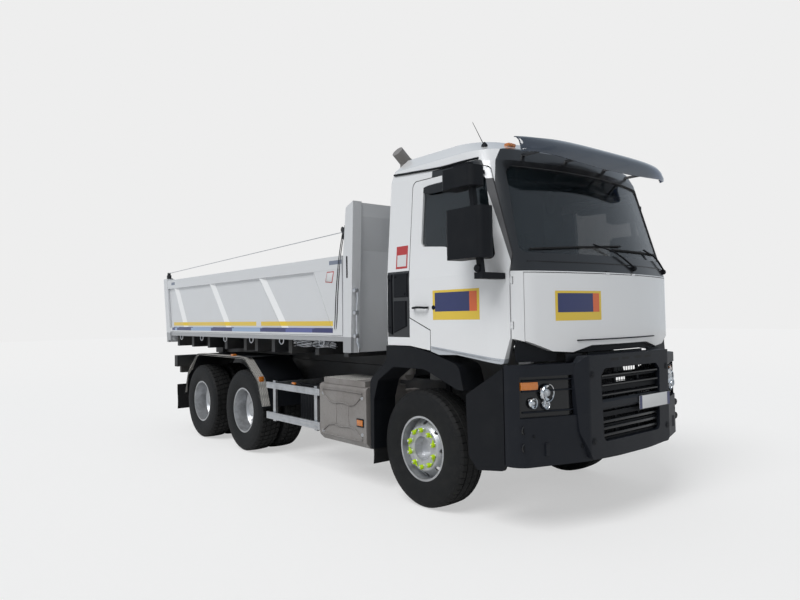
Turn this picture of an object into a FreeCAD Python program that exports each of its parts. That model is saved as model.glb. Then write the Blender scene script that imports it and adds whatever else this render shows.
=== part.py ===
# Three-axle tipper truck as a parametric document, in millimetres.
# +X points ahead, +Y to the left, +Z up. The origin is on the ground, under the middle of the truck's length.

import FreeCAD, Part
import math
import os
import Sketcher

doc = FreeCAD.newDocument("TipperTruck")
sheet = doc.addObject("Spreadsheet::Sheet", "Sizes")

SIZES = {
    # Axles along the truck
    "front_overhang": 1450,
    "wheelbase": 3550,
    "tandem_spacing": 1370,
    "rear_overhang": 1540,
    "body_width": 2500,
    # Wheels
    "tyre_radius": 538,
    "tyre_width": 315,
    "tread_width": 244,
    "bead_radius": 290,
    "front_track": 2070,
    "rear_track": 1820,
    "twin_spacing": 345,
    "rim_half_width": 138,
    "rim_flange_radius": 299,
    "rim_wall": 12,
    "rim_gap": 0.3,
    "nut_flange_radius": 200,
    "hand_hole_radius": 24,
    "hand_hole_circle": 236,
    "hub_radius": 84,
    "spindle_radius": 55,
    "bearing_gap": 0.4,
    # Steering
    "kingpin_spread": 1740,
    "kingpin_radius": 25,
    "axle_beam_drop": 110,
    "axle_beam_depth": 110,
    "axle_beam_width": 110,
    "steering_arm_length": 230,
    "tie_rod_radius": 20,
    # Frame
    "frame_width": 850,
    "frame_top": 1060,
    "rail_height": 270,
    "rail_flange": 80,
    "rail_thickness": 9,
    "rail_front": 1230,
    "rail_rear": 1030,
    "member_width": 120,
    "shaft_height": 640,
    "shaft_radius": 50,
    "subframe_height": 120,
    "subframe_front": 1160,
    # Bed
    "bed_hinge_back": 980,
    "bed_hinge_height": 1200,
    "bed_pin_radius": 28,
    "bed_front": 1000,
    "bed_gap": 6,
    "cross_member_height": 1330,
    "floor_underside": 1420,
    "floor_top": 1560,
    "floor_plate": 60,
    "member_inset": 80,
    "side_top": 2410,
    "side_thickness": 60,
    "side_gap": 12,
    "headboard_height": 2964,
    "headboard_underside": 1385,
    "headboard_depth": 140,
    "headboard_lean": 74,
    "tail_thickness": 60,
    "tail_lean": 165,
    "post_width": 80,
    "post_depth": 100,
    "swing_pin_radius": 14,
    "rib_width": 130,
    # Tipping cylinder
    "cylinder_lead": 450,
    "cylinder_pivot_height": 900,
    "cylinder_eye_height": 1440,
    "ball_radius": 42,
    "trunnion_radius": 30,
    "cradle_in": 150,
    "cradle_out": 185,
    "barrel_radius": 112,
    "stage_step": 14,
    "stage_wall": 12,
    "stage_gap": 1,
    "barrel_below": 170,
    "barrel_above": 430,
    # Cab
    "cab_rear": 390,
    "cab_half_width": 1240,
    "cab_top_half_width": 1165,
    "cab_front": 1370,
    "cab_top_front": 1085,
    "cab_bow": 3500,
    "cab_corner": 340,
    "cab_wall": 60,
    "cab_skirt": 1340,
    "cab_floor": 1500,
    "cab_belt": 2100,
    "cab_waist": 2240,
    "cab_shoulder": 3060,
    "cab_roof": 3300,
    "roof_inset": 170,
    "pivot_ahead": 1300,
    "pivot_height": 800,
    "pivot_radius": 22,
    "pivot_bracket": 20,
    "pivot_pin_length": 60,
    "hinge_ahead": 9,
    "hinge_inset": 16,
    "hinge_pin_radius": 6,
    "hinge_knuckle_radius": 11,
    "door_gap": 7,
    "door_edge_y": 1176,
    "hatch_half_width": 1090,
    "hatch_gap": 6,
    "visor_ahead": 1100,
    "door_front": 1098,
    "mirror_fold": 340,
    "door_rear": 60,
    "door_top": 3010,
    "glass_thickness": 8,
    "glass_gap": 0.3,
    # Bumper and lamps
    "bumper_top": 1355,
    "frame_height": 1412,
    "bumper_bottom": 560,
    "bumper_wall": 70,
    "grille_half_width": 500,
    "grille_bottom": 640,
    "grille_top": 1310,
    "lamp_inner": 620,
    "lamp_margin": 60,
    "lamp_bottom": 940,
    "lamp_top": 1265,
    # Things beside the frame
    "side_box_width": 520,
    "side_box_bottom": 420,
    "side_box_top": 1040,
    "exhaust_radius": 62,
    "exhaust_back": 500,
    "exhaust_side": 880,
    "mudguard_top": 1240,
    "mudguard_sheet": 14,
    "guard_inset": 30,
}


class Size:
    """A number together with the sheet expression that it comes from."""

    def __init__(self, value, text):
        self.value = value
        self.text = text

    def __add__(self, other):
        return Size(self.value + value_of(other), f"({self.text} + {text_of(other)})")

    def __radd__(self, other):
        return self + other

    def __sub__(self, other):
        return Size(self.value - value_of(other), f"({self.text} - {text_of(other)})")

    def __rsub__(self, other):
        return Size(value_of(other) - self.value, f"({text_of(other)} - {self.text})")

    def __mul__(self, other):
        return Size(self.value * value_of(other), f"({self.text} * {text_of(other)})")

    def __rmul__(self, other):
        return self * other

    def __truediv__(self, other):
        return Size(self.value / value_of(other), f"({self.text} / {text_of(other)})")

    def __neg__(self):
        return Size(-self.value, f"(0 - {self.text})")

    def root(self):
        return Size(math.sqrt(self.value), f"sqrt({self.text})")


def value_of(number):
    return number.value if isinstance(number, Size) else float(number)


def text_of(number):
    return number.text if isinstance(number, Size) else f"({float(number)!r})"


def fill_sheet():
    """Write every driving dimension into the sheet, and give it back by its name."""
    for row, (name, number) in enumerate(SIZES.items(), start=1):
        sheet.set(f"A{row}", name)
        sheet.set(f"B{row}", str(number))
        sheet.setAlias(f"B{row}", name)
    doc.recompute()
    return {name: Size(float(sheet.get(name)), f"Sizes.{name}") for name in SIZES}


S = fill_sheet()


def bind(item, path, number):
    """Tie one property of an object to the sheet, or set it where it is a plain number."""
    if isinstance(number, Size):
        item.setExpression(path, number.text)
        return
    parts = path.split(".")
    if len(parts) == 1:
        setattr(item, path, number)
    else:
        item.setExpression(path, text_of(number))


def place(item, x=0, y=0, z=0, turn=None):
    """Put an object at a point, with an optional rotation, and tie the point to the sheet."""
    rotation = turn or FreeCAD.Rotation()
    item.Placement = FreeCAD.Placement(FreeCAD.Vector(value_of(x), value_of(y), value_of(z)), rotation)
    for axis, number in zip("xyz", (x, y, z)):
        if isinstance(number, Size):
            item.setExpression(f"Placement.Base.{axis}", number.text)


def box(name, low, high):
    """A block between two corners."""
    item = doc.addObject("Part::Box", name)
    for side, start, end in zip(("Length", "Width", "Height"), low, high):
        bind(item, side, end - start)
    place(item, *low)
    return item


ALONG = {
    "X": FreeCAD.Rotation(FreeCAD.Vector(0, 1, 0), 90),
    "Y": FreeCAD.Rotation(FreeCAD.Vector(1, 0, 0), -90),
    "Z": FreeCAD.Rotation(),
}


def rod(name, start, axis, radius, length):
    """A round bar from a start point along a row axis."""
    item = doc.addObject("Part::Cylinder", name)
    bind(item, "Radius", radius)
    bind(item, "Height", length)
    place(item, *start, turn=ALONG[axis])
    return item


def origin_feature(body, role):
    return next(item for item in body.Origin.OriginFeatures if item.Role == role)


def tangent_points(points, radii):
    """For each corner, where its rounding leaves the line before and meets the line after."""
    count = len(points)
    before, after = [], []
    for index, point in enumerate(points):
        back = (points[index - 1] - point).normalize()
        ahead_of = (points[(index + 1) % count] - point).normalize()
        reach = 0.0
        if radii[index] is not None:
            reach = value_of(radii[index]) / math.tan(back.getAngle(ahead_of) / 2)
        before.append(point + back * reach)
        after.append(point + ahead_of * reach)
    return before, after


def short_arc(centre, start, end):
    """The shorter arc between two points, and which of its ends (1 or 2) is the start point."""
    angles = [math.atan2(point.y - centre.y, point.x - centre.x) for point in (start, end)]
    first = 1 if (angles[1] - angles[0]) % math.tau < math.pi else 2
    low, high = angles if first == 1 else reversed(angles)
    circle = Part.Circle(centre, FreeCAD.Vector(0, 0, 1), (start - centre).Length)
    return Part.ArcOfCircle(circle, low, high), first


def draw(sketch, corners):
    """Draw a closed outline of corners (x, y) or (x, y, rounding), tied to the sheet."""
    points = [FreeCAD.Vector(value_of(c[0]), value_of(c[1]), 0) for c in corners]
    radii = [c[2] if len(c) > 2 else None for c in corners]
    count = len(points)
    before, after = tangent_points(points, radii)
    lines = [
        sketch.addGeometry(Part.LineSegment(after[i], before[(i + 1) % count]), False)
        for i in range(count)
    ]
    rules, ties = [], []

    def hold(geometry, end, corner):
        for kind, number in zip(("DistanceX", "DistanceY"), corner):
            if isinstance(number, Size):
                ties.append((len(rules), number.text))
            rules.append(Sketcher.Constraint(kind, -1, 1, geometry, end, value_of(number)))

    for index, corner in enumerate(corners):
        line_in, line_out = lines[index - 1], lines[index]
        if radii[index] is None:
            rules.append(Sketcher.Constraint("Coincident", line_in, 2, line_out, 1))
            hold(line_out, 1, corner[:2])
            continue
        point = points[index]
        back = (before[index] - point).normalize()
        ahead_of = (after[index] - point).normalize()
        middle = (back + ahead_of).normalize()
        radius = value_of(radii[index])
        centre = point + middle * (radius / math.sin(back.getAngle(ahead_of) / 2))
        shape, first = short_arc(centre, before[index], after[index])
        arc = sketch.addGeometry(shape, False)
        marker = sketch.addGeometry(Part.Point(point), True)
        rules.append(Sketcher.Constraint("Tangent", line_in, 2, arc, first))
        rules.append(Sketcher.Constraint("Tangent", arc, 3 - first, line_out, 1))
        rules.append(Sketcher.Constraint("PointOnObject", marker, 1, line_in))
        rules.append(Sketcher.Constraint("PointOnObject", marker, 1, line_out))
        if isinstance(radii[index], Size):
            ties.append((len(rules), radii[index].text))
        rules.append(Sketcher.Constraint("Radius", arc, radius))
        hold(marker, 1, corner[:2])
    sketch.addConstraint(rules)
    for number, text in ties:
        sketch.setExpression(f"Constraints[{number}]", text)


def new_sketch(body, plane, corners, offset=0):
    sketch = body.newObject("Sketcher::SketchObject", body.Name + "_outline")
    sketch.AttachmentSupport = [(origin_feature(body, plane + "_Plane"), "")]
    sketch.MapMode = "FlatFace"
    bind(sketch, "AttachmentOffset.Base.z", offset)
    draw(sketch, corners)
    return sketch


def prism(name, plane, corners, low, high):
    """A flat outline made thick between two values of the third axis."""
    body = doc.addObject("PartDesign::Body", name)
    # The XZ plane looks along -Y, so its outline starts at the high side
    start = -high if plane == "XZ" else low
    sketch = new_sketch(body, plane, corners, start)
    pad = body.newObject("PartDesign::Pad", name + "_pad")
    pad.Profile = sketch
    bind(pad, "Length", high - low)
    return body


def turned(name, corners, x, y, z):
    """A solid of revolution about a line along Y; the outline's points are (radius, along)."""
    body = doc.addObject("PartDesign::Body", name)
    sketch = new_sketch(body, "XY", corners)
    wheel = body.newObject("PartDesign::Revolution", name + "_turn")
    wheel.Profile = sketch
    wheel.ReferenceAxis = (sketch, ["V_Axis"])
    wheel.Angle = 360
    place(body, x, y, z)
    return body


def fuse(name, pieces):
    item = doc.addObject("Part::MultiFuse", name)
    item.Shapes = pieces
    return item


def cut(name, base, tools):
    """Take one or more tools away from a base."""
    item = doc.addObject("Part::Cut", name)
    item.Base = base
    item.Tool = tools[0] if len(tools) == 1 else fuse(name + "_tools", tools)
    return item


def common(name, first, second):
    item = doc.addObject("Part::Common", name)
    item.Base = first
    item.Tool = second
    return item


def group(name, pieces):
    """Like pieces that don't touch, kept as one sub-part."""
    item = doc.addObject("Part::Compound", name)
    item.Links = pieces
    return item


def mirrored(name, source):
    """The same piece on the other side of the truck."""
    item = doc.addObject("Part::Mirroring", name)
    item.Source = source
    item.Normal = FreeCAD.Vector(0, 1, 0)
    item.Base = FreeCAD.Vector(0, 0, 0)
    return item


def pair(name, piece):
    """A piece and its mirror image as one sub-part of two solids."""
    return group(name, [piece, mirrored(name + "_other", piece)])


front_axle = (S["wheelbase"] + S["tandem_spacing"] + S["rear_overhang"] - S["front_overhang"]) / 2
axle_height = S["tyre_radius"]
rear_axles = [front_axle - S["wheelbase"], front_axle - S["wheelbase"] - S["tandem_spacing"]]
rail_out = S["frame_width"] / 2
rail_in = rail_out - S["rail_flange"]
rail_bottom = S["frame_top"] - S["rail_height"]
half_width = S["body_width"] / 2
bed_hinge = rear_axles[1] - S["bed_hinge_back"]
tail_back = rear_axles[1] - S["rear_overhang"]
bed_back = tail_back + S["tail_thickness"] + S["tail_lean"]
tail_top = S["side_top"] + 30
visor_back = front_axle + S["visor_ahead"]
visor_face = visor_back + 200
# The tail wall leans back from the bed's rear end to the truck's rearmost edge
tail_low = S["floor_underside"] - 30
floor_back = bed_back + 6
floor_front = front_axle - S["bed_front"] - S["headboard_depth"]
floor_side = half_width - 15
floor_low = S["floor_top"] - S["floor_plate"]
tail_slope = S["tail_lean"] / (tail_top - tail_low)


def ahead(distance):
    """A place along the truck, measured ahead of the front axle."""
    return front_axle + distance


def rail_outline():
    """The C section of the right-hand rail, open towards the middle."""
    web, flange, sheet_metal = -rail_out, -rail_in, S["rail_thickness"]
    top, bottom = S["frame_top"], rail_bottom
    return [
        (web, bottom), (flange, bottom), (flange, bottom + sheet_metal),
        (web + sheet_metal, bottom + sheet_metal),
        (web + sheet_metal, top - sheet_metal), (flange, top - sheet_metal), (flange, top), (web, top),
    ]


def make_frame():
    back, front = rear_axles[1] - S["rail_rear"], ahead(S["rail_front"])
    rail = prism("frame_rail", "YZ", rail_outline(), back, front)
    pieces = [rail, mirrored("frame_rail_left", rail)]
    inner = rail_out - S["rail_thickness"]
    low, high = rail_bottom + 60, S["frame_top"] - 60
    stations = [
        back, rear_axles[1] + 250, (rear_axles[0] + rear_axles[1]) / 2 - S["member_width"] / 2,
        rear_axles[0] + 850, ahead(-1950), ahead(1000),
    ]
    for number, station in enumerate(stations):
        pieces.append(box(f"frame_member_{number}", (station, -inner, low),
                          (station + S["member_width"], inner, high)))
    eye_x, eye_z, thick = ahead(S["pivot_ahead"]), S["pivot_height"], S["pivot_bracket"]
    bracket = prism("pivot_bracket_plate", "XZ", [
        (front - 160, rail_bottom), (eye_x + 45, eye_z - 45, 40), (eye_x + 45, eye_z + 45, 40),
        (front, S["frame_top"] - 60), (front - 160, S["frame_top"] - 60),
    ], -rail_out - thick, -rail_out)
    pin = rod("pivot_pin", (eye_x, -rail_out - thick - S["pivot_pin_length"], eye_z), "Y", S["pivot_radius"],
              S["pivot_pin_length"])
    side = fuse("cab_pivot", [bracket, pin])
    return fuse("frame", pieces + [side, mirrored("cab_pivot_left", side)])


def make_subframe():
    low, high = S["frame_top"], S["frame_top"] + S["subframe_height"]
    back, front = bed_hinge + 25, ahead(-S["subframe_front"])
    beam = box("subframe_beam", (back, -rail_out, low), (front, -rail_in, high))
    pieces = [beam, mirrored("subframe_beam_left", beam)]
    cylinder = rear_axles[0] + S["cylinder_lead"]
    for number, station in enumerate([back, rear_axles[1] + 250, cylinder - 360, cylinder + 170,
                                      front - 120]):
        pieces.append(box(f"subframe_member_{number}", (station, -rail_in, low),
                          (station + 100, rail_in, high)))
    cradle = box("cradle_plate", (cylinder - 360, -S["cradle_out"], S["cylinder_pivot_height"] - 60),
                 (cylinder + 270, -S["cradle_in"], high))
    opening = rod("cradle_bore", (cylinder, -S["cradle_out"] - 10, S["cylinder_pivot_height"]), "Y",
                  S["trunnion_radius"] + S["bearing_gap"], S["cradle_out"] - S["cradle_in"] + 20)
    cheek = cut("cradle_cheek", cradle, [opening])
    pieces += [cheek, mirrored("cradle_cheek_left", cheek)]
    ear_in, ear_out = rail_out, rail_out + 25
    ear = prism("hinge_ear", "XZ", [
        (bed_hinge - 55, S["bed_hinge_height"] - 200), (bed_hinge + 160, S["bed_hinge_height"] - 200),
        (bed_hinge + 160, high), (bed_hinge + 55, S["bed_hinge_height"] + 45, 30),
        (bed_hinge - 55, S["bed_hinge_height"] + 45, 30),
    ], -ear_out, -ear_in)
    pin = rod("hinge_pin", (bed_hinge, -ear_out - 45, S["bed_hinge_height"]), "Y", S["bed_pin_radius"], 50)
    side = fuse("hinge_side", [ear, pin])
    pieces += [side, mirrored("hinge_side_left", side)]
    return fuse("subframe", pieces)


def make_engine():
    block = box("engine_block", (ahead(-800), -330, 640), (ahead(900), 330, 1400))
    radiator = box("radiator", (ahead(900), -rail_in, 640), (ahead(980), rail_in, S["frame_top"] + 15))
    cooler = box("radiator_top", (ahead(900), -440, S["frame_top"] + 15), (ahead(980), 440, 1450))
    gearbox = box("engine_gearbox", (ahead(-1600), -230, 560), (ahead(-800), 230, 1000))
    inner = rail_out - S["rail_thickness"]
    mounts = [
        box(f"engine_mount_{n}", (ahead(x), -inner, rail_bottom + 90),
            (ahead(x + 100), inner, rail_bottom + 160))
        for n, x in enumerate((-1300, 300))
    ]
    return fuse("engine", [block, radiator, cooler, gearbox] + mounts)


def make_propshaft():
    pinion = rear_axles[0] + 330
    shaft = rod("propshaft_front", (pinion, 0, S["shaft_height"]), "X", S["shaft_radius"],
                ahead(-1600) - pinion)
    link = rod("propshaft_rear", (rear_axles[1] + 330, 0, S["shaft_height"]), "X", S["shaft_radius"],
               S["tandem_spacing"] - 330 - 380)
    return group("propshaft", [shaft, link])


def make_front_axle():
    tip, drop = S["kingpin_spread"] / 2 - 60, S["axle_beam_drop"]
    upper, depth = axle_height + S["axle_beam_depth"] / 2, S["axle_beam_depth"]
    beam = prism("front_axle_beam", "YZ", [
        (-tip, upper), (-tip, upper - depth), (-tip + 130, upper - depth, 60),
        (-tip + 260, upper - depth - drop, 60),
        (tip - 260, upper - depth - drop, 60), (tip - 130, upper - depth, 60), (tip, upper - depth),
        (tip, upper),
        (tip - 130, upper, 60), (tip - 260, upper - drop, 60), (-tip + 260, upper - drop, 60),
        (-tip + 130, upper, 60),
    ], ahead(-S["axle_beam_width"] / 2), ahead(S["axle_beam_width"] / 2))
    boss = rod("kingpin_boss", (ahead(0), -S["kingpin_spread"] / 2, axle_height - 60), "Z", 62, 120)
    pin = rod("kingpin", (ahead(0), -S["kingpin_spread"] / 2, axle_height - 120), "Z", S["kingpin_radius"],
              240)
    side = fuse("front_axle_end", [boss, pin])
    return fuse("front_axle", [beam, side, mirrored("front_axle_end_left", side)])


def make_rear_axles():
    pieces = []
    reach = S["rear_track"] / 2 + 150
    for number, station in enumerate(rear_axles):
        tube = rod(f"axle_tube_{number}", (station, -430, axle_height), "Y", 80, 860)
        spindle = rod(f"axle_spindle_{number}", (station, -reach, axle_height), "Y", S["spindle_radius"],
                      reach * 2)
        bowl = turned(f"axle_bowl_{number}", [
            (0, -200), (170, -150, 60), (235, -60, 60), (235, 60, 60), (170, 150, 60), (0, 200),
        ], station, 0, axle_height)
        nose = rod(f"axle_nose_{number}", (station + 150, 0, S["shaft_height"]), "X", 75, 180)
        parts = [tube, spindle, bowl, nose]
        if number == 0:
            parts.append(rod("axle_through", (station - 380, 0, S["shaft_height"]), "X", 65, 400))
        pieces.append(fuse(f"rear_axle_{number}", parts))
    return group("rear_axles", pieces)


def make_springs():
    seat = axle_height + S["axle_beam_depth"] / 2 - S["axle_beam_drop"]
    front = prism("front_spring", "XZ", [
        (ahead(-800), rail_bottom - 60), (ahead(-800), rail_bottom), (ahead(-740), rail_bottom),
        (ahead(-740), rail_bottom - 60), (ahead(0), seat + 90, 900), (ahead(740), rail_bottom - 60),
        (ahead(740), rail_bottom), (ahead(800), rail_bottom), (ahead(800), rail_bottom - 60),
        (ahead(120), seat), (ahead(-120), seat),
    ], -rail_out, -rail_in)
    middle = (rear_axles[0] + rear_axles[1]) / 2
    upper = axle_height + 80
    rear = prism("rear_spring", "XZ", [
        (rear_axles[1] - 120, upper), (rear_axles[1] + 120, upper), (middle, upper + 60, 1200),
        (rear_axles[0] - 120, upper), (rear_axles[0] + 120, upper), (rear_axles[0] + 120, upper + 40),
        (middle + 150, rail_bottom), (middle - 150, rail_bottom), (rear_axles[1] - 120, upper + 40),
    ], -rail_out, -rail_in)
    return group("springs",
                 [front, mirrored("front_spring_left", front), rear, mirrored("rear_spring_left", rear)])


def tyre_outline(middle):
    half, tread, bead = S["tyre_width"] / 2, S["tread_width"] / 2, S["bead_radius"]
    outer = S["tyre_radius"]
    return [
        (bead, middle - half + 40), (bead + 20, middle - half + 15), (bead + 110, middle - half, 60),
        (outer - 45, middle - half + 10, 60), (outer - 10, middle - tread), (outer, middle - tread + 30),
        (outer, middle + tread - 30), (outer - 10, middle + tread), (outer - 45, middle + half - 10, 60),
        (bead + 110, middle + half, 60), (bead + 20, middle + half - 15), (bead, middle + half - 40),
    ]


def make_tyre(name, x, side, twin):
    """One tyre, or the two tyres of a twin wheel, on the side given as -1 or 1."""
    if not twin:
        return turned(name, tyre_outline(0), x, S["front_track"] / 2 * side, axle_height)
    y = S["rear_track"] / 2 * side
    inner = turned(name + "_inner", tyre_outline(-S["twin_spacing"] / 2), x, y, axle_height)
    outer = turned(name + "_outer", tyre_outline(S["twin_spacing"] / 2), x, y, axle_height)
    return group(name, [inner, outer])


def hand_holes(name, body, disc_at):
    """Cut a ring of round hand holes through the wheel's disc."""
    sketch = body.newObject("Sketcher::SketchObject", name + "_hole")
    sketch.AttachmentSupport = [(origin_feature(body, "XZ_Plane"), "")]
    sketch.MapMode = "FlatFace"
    bind(sketch, "AttachmentOffset.Base.z", disc_at)
    hole = sketch.addGeometry(Part.Circle(
        FreeCAD.Vector(S["hand_hole_circle"].value, 0, 0), FreeCAD.Vector(0, 0, 1),
        S["hand_hole_radius"].value), False)
    sketch.addConstraint(Sketcher.Constraint("PointOnObject", hole, 3, -1))
    for kind, path in (("Radius", "hand_hole_radius"), ("DistanceX", "hand_hole_circle")):
        if kind == "Radius":
            rule = sketch.addConstraint(Sketcher.Constraint("Radius", hole, S[path].value))
        else:
            rule = sketch.addConstraint(Sketcher.Constraint("DistanceX", -1, 1, hole, 3, S[path].value))
        sketch.setExpression(f"Constraints[{rule}]", S[path].text)
    pocket = body.newObject("PartDesign::Pocket", name + "_pocket")
    pocket.Profile = sketch
    pocket.Type = "Length"
    pocket.Midplane = True
    pocket.Length = 400
    body.recompute()
    ring = body.newObject("PartDesign::PolarPattern", name + "_ring")
    ring.Originals = [pocket]
    ring.Axis = (origin_feature(body, "Y_Axis"), [""])
    ring.Angle = 360
    ring.Occurrences = 8
    body.Tip = ring


def make_front_rim(name, side):
    """A single steel wheel with its hub; its dish faces out."""
    hub, bore, wall = S["hub_radius"], S["spindle_radius"] + S["bearing_gap"], S["rim_wall"]
    outer, half = S["bead_radius"] - S["rim_gap"], S["rim_half_width"]
    flange = S["nut_flange_radius"]
    corners = [
        (bore, -60), (hub + 30, -60), (hub + 30, half - 30), (flange, half - 30, 20),
        (outer - wall, 10), (outer - wall, -half), (S["rim_flange_radius"], -half),
        (S["rim_flange_radius"], -half + 8), (outer, -half + 8), (outer, half - 8),
        (S["rim_flange_radius"], half - 8), (S["rim_flange_radius"], half), (outer - wall, half),
        (outer - wall, 30), (flange, half - 10, 20), (hub + 26, half - 10), (hub + 16, 45), (0, 45),
        (0, 28), (bore, 28),
    ]
    corners = [(c[0], c[1] * side, *c[2:]) for c in corners]
    body = turned(name, corners, ahead(0), S["front_track"] / 2 * side, axle_height)
    hand_holes(name, body, 0)
    return body


def make_twin_rim(name, x, side):
    """Two steel wheels bolted back to back on one hub."""
    hub, bore, wall = S["hub_radius"] + 25, S["spindle_radius"] + S["bearing_gap"], S["rim_wall"]
    outer, half, shift = S["bead_radius"] - S["rim_gap"], S["rim_half_width"], S["twin_spacing"] / 2
    edge, flange = S["rim_flange_radius"], S["nut_flange_radius"]
    corners = [
        (bore, -190), (hub, -190), (hub, -12), (flange, -12, 20), (outer - wall, -shift + 40),
        (outer - wall, -shift - half), (edge, -shift - half), (edge, -shift - half + 8),
        (outer, -shift - half + 8),
        (outer, -shift + half), (outer - wall, -shift + half),
        (outer - wall, -shift + 60), (flange + 10, 0), (outer - wall, shift - 60),
        (outer - wall, shift - half), (outer, shift - half),
        (outer, shift + half - 8), (edge, shift + half - 8), (edge, shift + half),
        (outer - wall, shift + half),
        (outer - wall, shift - 40), (flange, 12, 20), (hub, 12), (hub, 170), (hub - 30, 190), (0, 190),
        (0, 160), (bore, 160),
    ]
    corners = [(c[0], c[1] * side, *c[2:]) for c in corners]
    body = turned(name, corners, x, S["rear_track"] / 2 * side, axle_height)
    hand_holes(name, body, 0)
    return body


def make_knuckle(name, side):
    """The forked steering knuckle: two ears round the kingpin, the spindle and the steering arm."""
    y, bore = S["kingpin_spread"] / 2 * side, S["kingpin_radius"] + S["bearing_gap"]
    ears = []
    for end, low in (("upper", axle_height + 61), ("lower", axle_height - 111)):
        disc = rod(f"{name}_{end}", (ahead(0), y, low), "Z", 58, 50)
        hole = rod(f"{name}_{end}_bore", (ahead(0), y, low), "Z", bore, 50)
        ears.append(cut(f"{name}_{end}_ear", disc, [hole]))
    face = y + 66 * side
    outer = y + 100 * side
    low_y, high_y = (face, outer) if side > 0 else (outer, face)
    plate = box(f"{name}_plate", (ahead(-70), low_y, axle_height - 111),
                (ahead(70), high_y, axle_height + 111))
    bridges = []
    for end, low in (("upper", axle_height + 61), ("lower", axle_height - 111)):
        near = y + 50 * side
        span = (near, outer) if side > 0 else (outer, near)
        bridges.append(box(f"{name}_{end}_bridge", (ahead(-40), span[0], low),
                           (ahead(40), span[1], low + 50)))
    tip = S["front_track"] / 2 * side + 25 * side
    start, length = (face, tip - face) if side > 0 else (tip, face - tip)
    spindle = rod(f"{name}_spindle", (ahead(0), start, axle_height), "Y", S["spindle_radius"], length)
    arm = box(f"{name}_arm", (ahead(-S["steering_arm_length"] - 30), y - 25, axle_height - 111),
              (ahead(-50), y + 25, axle_height - 81))
    return fuse(name, ears + [plate, spindle, arm] + bridges)


def make_tie_rod():
    """The rod between the two steering arms, with a ball housing at each end."""
    spread = S["kingpin_spread"] / 2
    back, height = ahead(-S["steering_arm_length"]), axle_height - 150
    bar = rod("tie_rod_bar", (back, -spread, height), "Y", S["tie_rod_radius"], spread * 2)
    ends = []
    for number, y in enumerate((-spread, spread)):
        ends.append(rod(f"tie_rod_end_{number}", (back, y, height - 25), "Z", 25, 63.7))
    return fuse("tie_rod", [bar] + ends)


def make_exhaust():
    """The silencer box on the right, its two brackets and the stack behind the cab."""
    outer, inner = -half_width + 10, -half_width + 10 + S["side_box_width"]
    low, high = S["side_box_bottom"], S["side_box_top"]
    shell = prism("silencer_shell", "YZ", [
        (outer, low + 60, 40), (outer, high, 40), (inner, high), (inner, low), (outer + 60, low, 40),
    ], ahead(-1620), ahead(-760))
    lid = box("silencer_step", (ahead(-1560), outer + 20, high), (ahead(-800), inner - 40, high + 60))
    stays = [
        box(f"silencer_stay_{n}", (ahead(x), inner, high - 200), (ahead(x + 80), -rail_out, high - 80))
        for n, x in enumerate((-1500, -960))
    ]
    back, side = ahead(-S["exhaust_back"]), -S["exhaust_side"]
    riser = rod("stack_riser", (ahead(-860), side, high - 20), "Z", S["exhaust_radius"], 150)
    run = rod("stack_run", (ahead(-860), side, high + 130), "X", S["exhaust_radius"], 860 - S["exhaust_back"])
    pipe = rod("stack_pipe", (back, side, high + 130), "Z", S["exhaust_radius"], 3360 - high - 130)
    tip = doc.addObject("Part::Cylinder", "stack_tip")
    bind(tip, "Radius", S["exhaust_radius"])
    tip.Height = 150
    place(tip, back, side, 3330, turn=FreeCAD.Rotation(FreeCAD.Vector(1, 0, 0), 50))
    stack = fuse("stack", [riser, run, pipe, tip])
    return fuse("exhaust", [shell, lid, stack] + stays)


def make_fuel_tank():
    """The round-cornered tank on the left with its two straps' brackets."""
    outer, inner = half_width - 20, half_width - 20 - 600
    tank = prism("tank_shell", "YZ", [
        (inner, 460, 90), (outer, 460, 90), (outer, 1060, 90), (inner, 1060, 90),
    ], ahead(-1900), ahead(-760))
    stays = [
        box(f"tank_stay_{n}", (ahead(x), rail_out, 820), (ahead(x + 80), inner, 960))
        for n, x in enumerate((-1750, -1000))
    ]
    return fuse("fuel_tank", [tank] + stays)


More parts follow.
